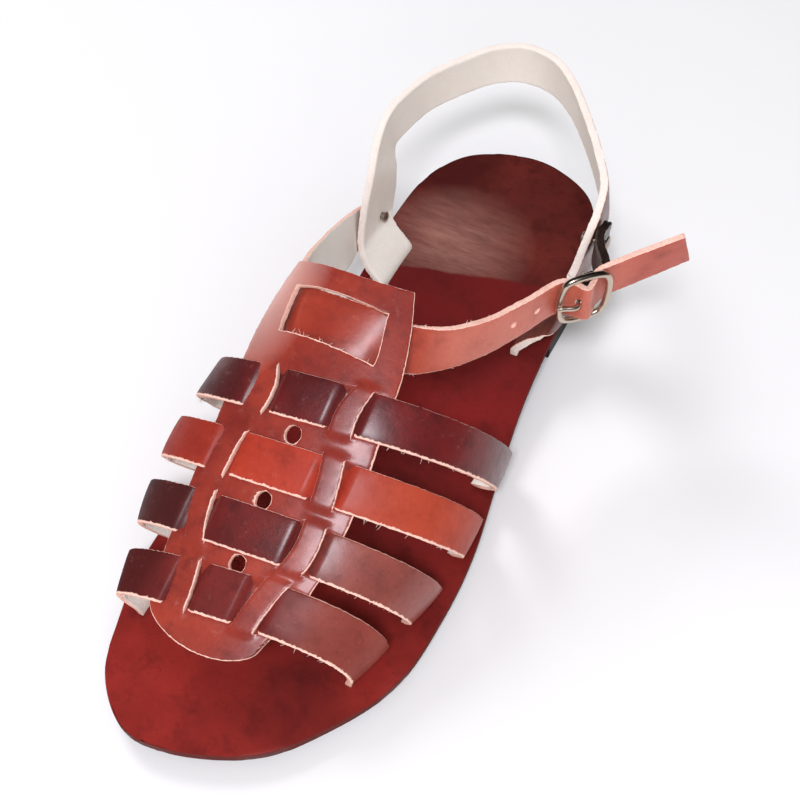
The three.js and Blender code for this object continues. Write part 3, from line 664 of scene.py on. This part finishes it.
# Middle piece of the upper: side edges, and the lines of its slits, by place along the sole
webEdges = table(
    "along medial lateral",
    (0.112, -0.26, 0.115), (0.135, -0.275, 0.13), (0.17, -0.3, 0.168), (0.21, -0.31, 0.195),
    (0.26, -0.325, 0.21), (0.32, -0.337, 0.206), (0.375, -0.345, 0.188), (0.43, -0.357, 0.172),
    (0.48, -0.352, 0.135), (0.519, -0.332, 0.092),
)
slitKeys = "along outerMedial innerMedial innerLateral outerLateral"
barShare = sizes["barWidth"] / ballWidth


def slitsAt(row, along):
    left, right = row["middle"] - row["half"], row["middle"] + row["half"]
    return along, left - barShare, left, right, right + barShare


slitLines = table(
    slitKeys,
    slitsAt(strapRows[3], 0.1),
    *[slitsAt(row, row["along"]) for row in reversed(strapRows)],
    (0.429, -0.305, -0.262, 0.076, 0.12),
    (0.484, -0.318, -0.283, 0.048, 0.09),
    (0.519, -0.315, -0.29, 0.04, 0.066),
)
web = {
    "tip": 0.097, "tipDepth": 9.8, "bowLength": 25.0, "windowFront": 0.429, "windowRear": 0.484,
    "top": 0.519, "dip": 2.6, "rowStep": 0.9, "cells": (4, 6, 22, 6, 5), "thickness": 1.9, "bevel": 0.3,
    "swell": (0.0, 3.2), "tuck": (-2.0, -0.2), "slit": (0.3, 0.9),
}


# How far a point of the middle piece lies in any strap's path, between two margins round its edges
def mostIn(place, margin):
    low, high = web[margin]
    aways = ((halfAlong(row), abs(place.y - strapLine(row, place.x, place.z))) for row in strapRows)
    return max(1 - smooth(half + low, half + high, away) for half, away in aways)


def makeWeb():
    tipY, topY = yAt(web["tip"]), yAt(web["top"])
    stops = [tipY, yAt(web["windowFront"]), yAt(web["windowRear"]), topY]
    rowPlaces = []
    for a, b in zip(stops, stops[1:]):
        count = max(2, round((b - a) / web["rowStep"]))
        rowPlaces += [mix(a, b, k / count) for k in range(count)]
    rowPlaces.append(topY)
    bounds = [sum(web["cells"][:k]) for k in range(len(web["cells"]) + 1)]
    grid = []
    for y in rowPlaces:
        bow = max(0.0, 1 - (y - tipY) / web["bowLength"])
        along = alongAt(y + bow * web["tipDepth"])
        left, right = (readColumn(webEdges, key, along) * ballWidth for key in ("medial", "lateral"))
        slits = [readColumn(slitLines, key, along) * ballWidth for key in slitKeys.split()[1:]]
        lines = [left, *slits, right]
        rise = clamp((y - stops[2]) / (topY - stops[2]))
        line = []
        for region, count in enumerate(web["cells"]):
            for k in range(count + (region == 4)):
                x = mix(lines[region], lines[region + 1], k / count)
                u = (x - (left + right) / 2) / ((right - left) / 2)
                bowed = y + bow * web["tipDepth"] * (1 - math.sqrt(max(0, 1 - u * u)))
                bowed -= web["dip"] * rise * (1 - u * u)
                line.append(onArch(x, bowed))
        grid.append(line)
    # Round holes stamped toeward of the first three straps
    gone = set()
    for row in strapRows[:3]:
        home = yAt(row["along"]) - sizes["strapWidth"] / 2 * math.sqrt(1 + row["lean"] ** 2)
        centre = Vector(((row["middle"] + 0.01) * ballWidth, home - sizes["stampRadius"] * 0.9))
        nearest = min(((grid[i][j].xy - centre).length, i, j)
                      for i in range(len(grid)) for j in range(bounds[2] + 3, bounds[3] - 2))
        inside, ring = holeRing(*nearest[1:], 2)
        gone |= inside
        for i, j, angle in ring:
            away = Vector((math.cos(angle), math.sin(angle))) * sizes["stampRadius"]
            grid[i][j] = onArch(*(centre + away))
    windowRows = [i for i, y in enumerate(rowPlaces) if stops[1] - 1e-6 <= y < stops[2] - 1e-6]
    gone |= {(i, j) for i in windowRows for j in range(bounds[2], bounds[3])}
    places, offsets, frays, known = [], [], [], {}

    # How raw the edge is: most where the cut faces the toe or the outer side
    def frayAt(i, j, region, split):
        if split:
            return 0.85 if region in (1, 3) and j == bounds[region + 1] else 0.45
        if i == 0 or j == bounds[5]:
            return 0.85
        if j == 0 or i == len(grid) - 1:
            return 0.6
        if bounds[2] <= j <= bounds[3] and windowRows[0] <= i <= windowRows[-1] + 1:
            return 0.85 if i == windowRows[0] or j == bounds[3] else 0.55
        around = {(i + di, j + dj) in gone for di in (-1, 0) for dj in (-1, 0)}
        return 0.7 if around == {True, False} else 0

    def vertexFor(i, j, region):
        place = grid[i][j]
        split = j in bounds[1:5] and mostIn(place, "slit") > 0.5
        key = (i, j, region if split else -1)
        if key not in known:
            known[key] = len(places)
            swell = mostIn(place, "swell")
            lift = swell if region in (1, 3) else -mostIn(place, "tuck")
            if j in bounds[1:5] and not split:
                lift = swell / 2
            places.append(place)
            offsets.append(lift * sizes["weaveDepth"])
            frays.append(frayAt(i, j, region, split))
        return known[key]

    cells = []
    for i in range(len(grid) - 1):
        for region in range(5):
            for j in range(bounds[region], bounds[region + 1]):
                if (i, j) not in gone:
                    corners = ((i, j), (i, j + 1), (i + 1, j + 1), (i + 1, j))
                    cells.append([vertexFor(*corner, region) for corner in corners])
    bm = bmesh.new()
    sheetSolid(bm, places, cells, offsets, web, fray=lambda k: frays[k])
    finishMesh("upper_middle", bm, [leathers["web"], fleshSide, rawEdge], ["upper"], "upper_leather")


makeWeb()
print("middle piece made")

# Sole: insole, outsole and heel lift, each from rows of points across the outline
soleMesh = {"ring": 720, "rows": 170, "columns": 26, "ends": 0.004}
layers = table(
    "name node slot inset middle thickness bevel",
    ("insole_body", "insole", "insole_leather", 0, insoleTop - 1.7, 3.4, 0.5),
    ("outsole_body", "outsole", "sole_black", 0.8, 1.5, 3.0, 0.4),
)
lift = {"inset": 0.8, "breast": 0.7, "clear": 0.3}


def soleGrid(inset):
    count = soleMesh["ring"]
    ring = soleOutline(inset, count)
    toe = min(range(count), key=lambda k: ring[k].y)
    ring = ring[toe:] + ring[:toe]
    heel = max(range(count), key=lambda k: ring[k].y)
    lateral, medial = ring[:heel + 1], [ring[0], *ring[:heel - 1:-1]]
    rows = []
    for i in range(soleMesh["rows"] + 1):
        t = mix(soleMesh["ends"], 1 - soleMesh["ends"], i / soleMesh["rows"])
        outer, inner = pointOn(lateral, t), pointOn(medial, t)
        rows.append([outer.lerp(inner, j / soleMesh["columns"]) for j in range(soleMesh["columns"] + 1)])
    return rows


def makeLayer(layer, materials):
    rows = soleGrid(layer["inset"])
    places = [Vector((p.x, p.y, layer["middle"] + soleRise(p.y))) for line in rows for p in line]
    bm = bmesh.new()
    sheetSolid(bm, places, ribbonCells(len(rows), len(rows[0])), [0] * len(places), layer)
    finishMesh(layer["name"], bm, materials, [layer["node"]], layer["slot"])


# Colour of the insole: red in front of a line across the waist and darker towards it, browner and grained
# behind it, with a painted sheen on the front of the heel seat
seat = {
    "along": 0.758, "slant": 0.27, "red": (0.28, 0.022, 0.017), "deepRed": (0.12, 0.01, 0.009),
    "waistRed": (0.17, 0.009, 0.011), "waistReach": 0.14, "waver": 0.004, "lineWidth": 0.0015,
    "brown": (0.13, 0.018, 0.013), "deepBrown": (0.06, 0.008, 0.007),
    "Patch": 26, "Grain": 600, "Scuff": 0.0, "Rough": 0.42,
    "pale": (0.42, 0.2, 0.16),
    "spot": {"side": -0.13, "along": 0.785, "height": 14.5, "squeeze": (1, 1, 1), "Core": 0.006,
             "Reach": 0.032, "Amount": 0.8},
    "streakTurn": 0.5, "streakScale": Vector((1, 5, 1)),
}


def insoleMaterial(name):
    material, tree = newMaterial(name)
    place = objectPlace(tree)
    side, along = sideOf(tree, place, "X"), sideOf(tree, place, "Y")
    waver = scaled(tree, noiseAt(tree, place, 90, 3.0), seat["waver"])
    slanted = addedTo(tree, along, scaled(tree, side, -seat["slant"]))
    start = (yAt(seat["along"]) + originShift.y) * 0.001
    behind = rangeOf(tree, addedTo(tree, slanted, waver), start, start + seat["lineWidth"])
    toWaist = rangeOf(tree, along, start - seat["waistReach"], start - 0.02)
    front = dyeAndLightAt(tree, mixColours(tree, toWaist, seat["red"], seat["waistRed"]), seat["deepRed"], soleLook)
    rear = dyeAndLightAt(tree, seat["brown"], seat["deepBrown"], seat)
    # Painted sheen on the front of the heel seat, broken into streaks along the grain
    turned = {"Vector": place, "Rotation": Vector((0, 0, seat["streakTurn"])), "Scale": seat["streakScale"]}
    streaks = noiseAt(tree, addNode(tree, "ShaderNodeMapping", turned)[0], 85, 6.0, 0.72)
    grain = rangeOf(tree, streaks, 0.34, 0.7, 0.45, 1)
    pale = scaled(tree, sheenSpotMask(tree, seat["spot"]), grain)
    seatWithSheen = mixColours(tree, pale, rear["Colour"], seat["pale"])
    finishLeather(tree, mixColours(tree, behind, front["Colour"], seatWithSheen), front, soleLook)
    return material


def makeHeelLift():
    breast = yAt(lift["breast"])
    rows = [line for line in soleGrid(lift["inset"]) if line[len(line) // 2].y >= breast]
    bm = bmesh.new()
    top, base = [], []
    for p in [p for line in rows for p in line]:
        y = max(p.y, breast)
        top.append(bm.verts.new(toScene(Vector((p.x, y, soleRise(y) - lift["clear"])))))
        base.append(bm.verts.new(toScene(Vector((p.x, y, 0)))))
    cells = ribbonCells(len(rows), len(rows[0]))
    for cell in cells:
        bm.faces.new([top[k] for k in cell])
        bm.faces.new([base[k] for k in cell[::-1]])
    for a, b in borderPairs(cells):
        bm.faces.new([top[b], top[a], base[a], base[b]])
    finishMesh("heel_lift_body", bm, [leathers["sole"]], ["heel_lift"], "sole_black")


makeLayer(layers[0], [insoleMaterial("insole_leather"), insoleEdge, insoleEdge])
makeLayer(layers[1], [leathers["sole"]] * 3)
makeHeelLift()
print("sole made")


# Flat straps that follow a table of middles
def ribbonFrames(middles, wides, widths, steps):
    shares = [k / steps for k in range(steps + 1)]
    return [(curvePoint(middles, t), curvePoint(wides, t).normalized(), pointOn(widths, t)) for t in shares]


def makeRibbon(name, frames, look, materials, replaced, slot, outward, holes=()):
    columns = look["columns"]
    places, offsets = [], []
    for middle, wide, width in frames:
        for j in range(columns):
            edge = mix(-1, 1, j / (columns - 1))
            places.append(middle + wide * (edge * width / 2))
            offsets.append(-look["dome"] * edge ** 4)
    cells = ribbonCells(len(frames), columns)
    gone = set()
    for hole in holes:
        k = min(range(len(places)), key=lambda k: (places[k] - hole["at"]).length)
        run = (places[k + 2 * columns] - places[k - 2 * columns]).normalized()
        wide = (places[k + 1] - places[k - 1]).normalized()
        inside, ring = holeRing(k // columns, k % columns, 1)
        gone |= {i * (columns - 1) + j for i, j in inside}
        for i, j, angle in ring:
            away = wide * math.cos(angle) + run * math.sin(angle)
            places[i * columns + j] = places[k] + away * hole["radius"]
    kept = [cell for k, cell in enumerate(cells) if k not in gone]
    bm = bmesh.new()
    sheetSolid(bm, places, kept, offsets, look, outward,
               lambda k: look["fray"] if k % columns in (0, columns - 1) else 0)
    loose = [vert for vert in bm.verts if not vert.link_faces]
    bmesh.ops.delete(bm, geom=loose, context="VERTS")
    finishMesh(name, bm, materials, replaced, slot)


# Heel strap: one band whose legs go down into the insole
slingRows = table(
    "side along height heading lean",
    (-0.28, 0.709, -0.077, 0, 0), (-0.28, 0.709, 0.02, 0, 0), (-0.31, 0.712, 0.085, 0, 0),
    (-0.36, 0.72, 0.15, 0, 0), (-0.402, 0.735, 0.22, 0, 0), (-0.415, 0.748, 0.36, 0, 0),
    (-0.42, 0.762, 0.54, 0, 0), (-0.424, 0.776, 0.76, 0, 0), (-0.442, 0.796, 0.92, 1, 0),
    (-0.455, 0.822, 0.99, 3, 0), (-0.45, 0.853, 1, 9, 0), (-0.418, 0.911, 1, 22, 2),
    (-0.335, 0.968, 1, 40, 3), (-0.24, 1.012, 1, 60, 3), (-0.141, 1.03, 1, 90, 3),
    (-0.012, 1.024, 1, 120, 6), (0.1, 0.994, 1, 136, 8), (0.232, 0.936, 1, 146, 10),
    (0.36, 0.868, 1, 155, 10), (0.424, 0.826, 0.99, 166, 8), (0.44, 0.797, 0.92, 176, 4),
    (0.436, 0.777, 0.77, 180, 0), (0.432, 0.762, 0.57, 180, 0), (0.425, 0.739, 0.4, 180, 0),
    (0.4, 0.716, 0.25, 180, 0), (0.35, 0.7, 0.12, 180, 0), (0.315, 0.692, 0.02, 180, 0),
    (0.315, 0.692, -0.077, 180, 0),
)
sling = {"height": 0.49 * sizes["instepHeight"], "width": 16.5, "legWidth": 23.0, "thickness": 2.7,
         "bevel": 0.5, "dome": 0.2, "columns": 13, "steps": 300, "fray": 0.75}


def slingFrames():
    floor = insoleTop + sizes["heelHeight"]
    middles = [placeAt(row, floor + row["height"] * sling["height"]) for row in slingRows]
    wides, widths = [], []
    for k, row in enumerate(slingRows):
        angle = math.radians(row["heading"])
        heading = Vector((math.sin(angle), math.cos(angle), 0))
        run = runAt(middles, k)
        wide = Vector((0, 0, run.dot(heading))) - heading * run.z
        wide = wide.normalized().lerp(-heading, 1 - smooth(0.1, 0.55, row["height"])).normalized()
        inward = run.cross(wide).normalized()
        lean = math.radians(row["lean"])
        wides.append(wide * math.cos(lean) + inward * math.sin(lean))
        widths.append(mix(sling["legWidth"], sling["width"], smooth(0.5, 1, row["height"])))
    return ribbonFrames(middles, wides, widths, sling["steps"])


makeRibbon("heel_strap_band", slingFrames(), sling, [leathers["heel_strap"], fleshSide, paleEdge],
           ["heel_strap"], "upper_leather", -1)
print("heel strap made")

# Buckle frame of reference: reach along the strap, out from the foot, rise upward
buckle = {"side": 0.533, "along": 0.6525, "height": 0.625, "flare": 45, "bar": 1.1, "length": 17.0,
          "tall": 20.0, "drop": 2.5, "prong": 0.9, "corner": 0.72}
flare = math.radians(buckle["flare"])
flareReach = Vector((math.sin(flare), math.cos(flare), 0))
flareOut = Vector((math.cos(flare), -math.sin(flare), 0))
buckleCentre = placeAt(buckle, insoleTop + buckle["height"] * sizes["instepHeight"])
halfFrame = buckle["length"] / 2 - buckle["bar"]
halfRise = buckle["tall"] / 2 - buckle["bar"]
barRadius = buckle["bar"] * 0.9


def atBuckle(reach, out, rise):
    return buckleCentre + flareReach * reach + flareOut * out + Vector((0, 0, rise))


# Ankle strap: over the instep, through the window and the buckle, out to its free end
ankleRows = table(
    "side along height tip",
    (-0.448, 0.776, 0.19, 0), (-0.448, 0.752, 0.215, 0), (-0.441, 0.698, 0.29, -12),
    (-0.412, 0.64, 0.38, -27), (-0.385, 0.58, 0.48, -22), (-0.364, 0.52, 0.578, 8),
    (-0.316, 0.478, 0.662, 44), (-0.222, 0.459, 0.727, 60), (-0.108, 0.457, 0.748, 64),
    (0.011, 0.461, 0.737, 58), (0.12, 0.473, 0.701, 41), (0.228, 0.495, 0.69, 14),
    (0.315, 0.538, 0.655, 5), (0.386, 0.588, 0.635, 2),
)
throughBuckle = table(
    "reach out rise tip",
    (-0.9 * halfFrame, -2.6, 0, 0), (-0.44 * halfFrame, -0.3, 0, 0), (0, 2.5, 0, 0),
    (0.44 * halfFrame, -0.3, 0.6, 0), (0.9 * halfFrame, -2.6, 1.6, 0),
    (halfFrame + 7.5, -2.4, 4.4, -4), (halfFrame + 25, -0.5, 11, -8),
)
ankle = {"width": 14.8, "thickness": 1.8, "bevel": 0.3, "dome": 0.15, "columns": 17, "steps": 300,
         "fray": 0.75, "spread": 1.5, "windowRows": (6, 7, 8, 9),
         "holes": table("reach out rise radius", (-26.8, -2.5, 1, 1.15), (-16.9, -2.5, 1, 1.15),
                        (-1.9, 1.2, 0, 1.5))}


def ankleFrames():
    middles = [placeAt(row, insoleTop + row["height"] * sizes["instepHeight"]) for row in ankleRows]
    middles += [atBuckle(step["reach"], step["out"], step["rise"]) for step in throughBuckle]
    tips = [row["tip"] for row in ankleRows + throughBuckle]
    wides, widths = [], []
    for k, middle in enumerate(middles):
        run = runAt(middles, k)
        outward = run.cross(Vector((0, 0, 1))).normalized()
        upward = outward.cross(run).normalized()
        tip = math.radians(tips[k])
        wides.append(upward * math.cos(tip) - outward * math.sin(tip))
        widths.append(ankle["width"] + (ankle["spread"] if k in ankle["windowRows"] else 0))
    middles = [middle + wide * (width - ankle["width"]) / 2
               for middle, wide, width in zip(middles, wides, widths)]
    return ribbonFrames(middles, wides, widths, ankle["steps"])


ankleRun = ankleFrames()
ankleHoles = []
for hole in ankle["holes"]:
    goal = atBuckle(hole["reach"], hole["out"], hole["rise"])
    nearest = min((middle for middle, wide, width in ankleRun), key=lambda middle: (middle - goal).length)
    ankleHoles.append({"at": nearest, "radius": hole["radius"]})
makeRibbon("ankle_strap_band", ankleRun, ankle, [leathers["ankle_strap"], fleshSide, rawEdge],
           ["ankle_strap"], "upper_leather", 1, ankleHoles)
print("ankle strap made")


# Corners of a ring round a point: size is its radius, side and other span its plane
def ringAt(centre, side, other, size, sides):
    turns = [2 * math.pi * j / sides for j in range(sides)]
    return [centre + side * (size * math.cos(turn)) + other * (size * math.sin(turn)) for turn in turns]


# Round bars of the buckle
def sweepTube(bm, points, radius, sides=16, closed=False):
    count = len(points)
    rings = []
    side = None
    for k in range(count):
        run = runAt(points, k, closed)
        if side is None:
            side = run.orthogonal().normalized()
        side = (side - run * side.dot(run)).normalized()
        size = radius(k / (count - 1)) if callable(radius) else radius
        ring = ringAt(points[k], side, run.cross(side), size, sides)
        rings.append([bm.verts.new(toScene(corner)) for corner in ring])
    for k in range(count if closed else count - 1):
        a, b = rings[k], rings[(k + 1) % count]
        shift = 0
        if closed and k == count - 1:
            shift = min(range(sides), key=lambda s: (a[0].co - b[s].co).length)
        for j in range(sides):
            quad = [a[j], a[(j + 1) % sides], b[(j + 1 + shift) % sides], b[(j + shift) % sides]]
            bm.faces.new(quad).smooth = True
    if not closed:
        bm.faces.new(rings[0][::-1])
        bm.faces.new(rings[-1])


def makeBuckleFrame():
    c = buckle["corner"]
    corners = [(-1, -c), (-1, c), (-c, 1), (c, 1), (1, c), (1, -c), (c, -1), (-c, -1)]
    outline = [atBuckle(reach * halfFrame, 0, rise * halfRise) for reach, rise in corners]
    bm = bmesh.new()
    sweepTube(bm, evenCurve(outline, 96, True), buckle["bar"], 18, True)
    bar = [(-1, 0), (-0.93, -0.75), (-0.78, -1), (0, -1), (0.78, -1), (0.93, -0.75), (1, 0)]
    path = [atBuckle(0, drop * buckle["drop"], rise * halfRise) for rise, drop in bar]
    sweepTube(bm, evenCurve(path, 48), barRadius, 16)
    finishMesh("buckle_frame_wire", bm, [buckleMetal], ["buckle_frame"], "buckle_metal")


def makeProng():
    size = buckle["prong"]
    over = buckle["bar"] + sizes["gap"] + size
    path = [atBuckle(-1.2, -0.9, 0), atBuckle(-2.2, 1.6, 0), atBuckle(-3.8, 3, 0),
            atBuckle(-halfFrame, over, 0), atBuckle(-halfFrame - 2.4, over - size * 0.2, 0)]
    bm = bmesh.new()
    sweepTube(bm, evenCurve(path, 40), lambda t: size * (1 - 0.25 * smooth(0.8, 1, t)), 14)
    reach = barRadius + sizes["gap"] + size * 0.8
    eye = ringAt(atBuckle(0, -buckle["drop"], 0), flareReach, flareOut, reach, 32)
    sweepTube(bm, eye, size * 0.8, 12, True)
    finishMesh("buckle_prong_wire", bm, [buckleMetal], ["buckle_prong"], "buckle_metal")


makeBuckleFrame()
makeProng()

# Loose fibres on the raw front edges, the window's front edge and the ankle strap
fibres = {"radius": 0.09, "length": (0.5, 1.7), "strap": 34, "window": 16, "ankle": 60,
          "ankleFrames": (60, 215), "stray": 0.7, "bend": 0.4}


def makeFibres():
    chance = random.Random(5)
    bm = bmesh.new()

    def strand(root, outward):
        aimed = (outward.normalized() + stray(chance, fibres["stray"])).normalized()
        bend = stray(chance, fibres["bend"])
        length = chance.uniform(*fibres["length"])
        points = [root + aimed * (length * k / 3) + bend * (length * k * k / 9) for k in range(4)]
        sweepTube(bm, points, lambda t: fibres["radius"] * (1 - 0.6 * t), 4)

    for row in strapRows:
        for k in range(fibres["strap"]):
            across = strapArch(math.pi * chance.uniform(0.06, 0.94))
            rim = strapPlace(row, across, -0.98)
            strand(rim, rim - strapPlace(row, across, -0.7))
    y = yAt(web["windowFront"])
    window = [readColumn(slitLines, key, web["windowFront"]) for key in ("innerMedial", "innerLateral")]
    for k in range(fibres["window"]):
        x = mix(*window, chance.random()) * ballWidth
        strand(onArch(x, y) - Vector((0, 0.1, 0)), Vector((0, 1, 0.3)))
    for k in range(fibres["ankle"]):
        middle, wide, width = ankleRun[chance.randint(*fibres["ankleFrames"])]
        edge = chance.choice((-1, 1))
        strand(middle + wide * (edge * width * 0.49), wide * edge)
    finishMesh("raw_fibres", bm, [paleEdge], None, "upper_leather")


makeFibres()

# Billet: thin dark leather folded round the centre bar, its two ends on the lateral leg
billet = {"width": 11.0, "thickness": 1.3, "bevel": 0.2, "dome": 0.0, "columns": 9, "steps": 120, "fray": 0,
          "slope": -0.22, "legSide": 0.441, "legThickness": 2.8, "apart": 0.68, "wrap": 0.65,
          "leg": ((7.6, 0.712), (3.0, 0.742), (1.4, 0.762), (1.4, 0.79))}


def billetFrames():
    legFace = billet["legSide"] * ballWidth + billet["legThickness"] / 2 + sizes["gap"]
    eye = atBuckle(0, -buckle["drop"], 0)
    spine = [atBuckle(halfFrame * 0.55, -4.6, 0), atBuckle(halfFrame + 1.5, -6.2, 0)]
    spine = [Vector((p.x, p.y, 0)) for p in spine]
    spine += [Vector((legFace + out, yAt(along), 0)) for out, along in billet["leg"]]
    fine = [curvePoint(spine, k / 20) for k in range(21)]
    sides = [Vector((run.y, -run.x, 0)) * billet["apart"] for run in (runAt(fine, k) for k in range(21))]
    outer = [place + side for place, side in zip(fine, sides)]
    inner = [place - side for place, side in zip(fine, sides)]
    wrap = barRadius + sizes["gap"] + billet["wrap"]
    loop = [eye + flareReach * (wrap * math.cos(angle)) + flareOut * (wrap * math.sin(angle))
            for angle in map(math.radians, (50, 90, 135, 180, 225, 270))]
    path = outer[::-1] + loop + inner
    middles = [Vector((p.x, p.y, buckleCentre.z + billet["slope"] * (p.y - eye.y))) for p in path]
    wides = [Vector((0, 0, 1))] * len(middles)
    return ribbonFrames(middles, wides, [billet["width"]] * len(middles), billet["steps"])


makeRibbon("buckle_billet_fold", billetFrames(), billet, [leathers["billet"]] * 3, ["buckle_billet"],
           "dark_leather", 1)


# Rivets, hollow end and domed head: depth from that end and share of the radius at each step
rivet = {
    "hollow": ((0.4, 0), (0.4, 0.26), (0, 0.36), (0, 0.5), (0.3, 0.6), (0.8, 0.6)),
    "head": ((0.9, 1), (0.45, 0.92), (0.1, 0.6), (0, 0)),
    "shank": 1.4, "sides": 28, "crease": 0.6,
}


def makeRivet(name, node, outward):
    low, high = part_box(node)
    reach = (high.x - low.x) / 2 * 1000
    radius = (high.z - low.z) / 2 * 1000
    profile = [(depth - reach, share * radius) for depth, share in rivet["hollow"]]
    for along in (rivet["hollow"][-1][0] - reach, reach - rivet["head"][0][0]):
        profile.append((along, rivet["shank"]))
    profile += [(reach - depth, share * radius) for depth, share in rivet["head"]]
    bm = bmesh.new()
    sides = rivet["sides"]
    rings = []
    for along, size in profile:
        centre = (low + high) / 2 + Vector((outward * along * 0.001, 0, 0))
        ring = ringAt(centre, Vector((0, 1, 0)), Vector((0, 0, 1)), size * 0.001, sides)
        rings.append([bm.verts.new(corner) for corner in (ring if size else ring[:1])])
    for a, b in zip(rings, rings[1:]):
        for j in range(sides):
            quad = [a[j % len(a)], a[(j + 1) % len(a)], b[(j + 1) % len(b)], b[j % len(b)]]
            corners = list(dict.fromkeys(quad))
            bm.faces.new(corners if outward < 0 else corners[::-1]).smooth = True
    bmesh.ops.recalc_face_normals(bm, faces=bm.faces)
    for edge in bm.edges:
        edge.smooth = edge.calc_face_angle(0) < rivet["crease"]
    finishMesh(name, bm, [rivetMetal], [node], "buckle_metal")


makeRivet("rivet_medial_stud", "rivet_medial", -1)
makeRivet("rivet_lateral_stud", "rivet_lateral", 1)
print("buckle made")


# Floor, lights and camera
def addLight(name, place, aim, size, power, colour, mirrored):
    data = bpy.data.lights.new(name, "AREA")
    data.shape = "RECTANGLE"
    data.size, data.size_y = size
    data.energy = power
    data.color = colour
    light = addObject(name, data)
    light.location = place
    light.visible_glossy = mirrored
    light.rotation_euler = (Vector(aim) - Vector(place)).to_track_quat("-Z", "Y").to_euler()


bm = bmesh.new()
bmesh.ops.create_grid(bm, x_segments=1, y_segments=1, size=4)
meshObject("floor", bm, [plainMaterial("floor_white", (0.86, 0.86, 0.86), 0.9)])
addLight("key", (-0.8, 0.4, 0.85), (0, 0, 0.02), (0.4, 0.4), 5.5, (0.98, 0.97, 1), False)
addLight("sheen", (0.2, -0.6, 1.08), (0, 0, 0.02), (0.34, 0.2), 8.5, (0.95, 0.93, 1), True)
addLight("front", (0.45, -0.9, 0.5), (0, 0, 0.03), (0.9, 0.5), 3.5, (1, 0.98, 0.96), False)
world = bpy.data.worlds.new("studio")
world.use_nodes = True
background = world.node_tree.nodes["Background"].inputs
feed(world.node_tree, {"Color": (1, 1, 1), "Strength": 0.42}, background)
world.cycles_visibility.glossy = False
scene.world = world
scene.view_settings.view_transform = "Standard"

view = {"azimuth": 42.5, "elevation": 53.2, "roll": -12.8, "place": (97.7, -163.7, 296.6),
        "focal": 1021.45, "middle": (540, 430), "shown": 800}
azimuth, elevation, roll = (math.radians(view[key]) for key in ("azimuth", "elevation", "roll"))
turn = Matrix.Rotation(azimuth, 3, "Z") @ Matrix.Rotation(math.pi / 2 - elevation, 3, "X")
turn = turn @ Matrix.Rotation(roll, 3, "Z")
across, down = ((place - view["shown"] / 2) / view["focal"] for place in view["middle"])
aim = turn @ Vector((across, -down, -1)).normalized()
right = (turn.col[0] - aim * aim.dot(turn.col[0])).normalized()
cameraData = bpy.data.cameras.new("camera")
cameraData.sensor_fit = "HORIZONTAL"
cameraData.angle = 2 * math.atan(view["shown"] / 2 / view["focal"])
camera = addObject("camera", cameraData)
camera.rotation_euler = Matrix((right, right.cross(aim), -aim)).transposed().to_euler()
camera.location = toScene(Vector(view["place"]))
scene.camera = camera
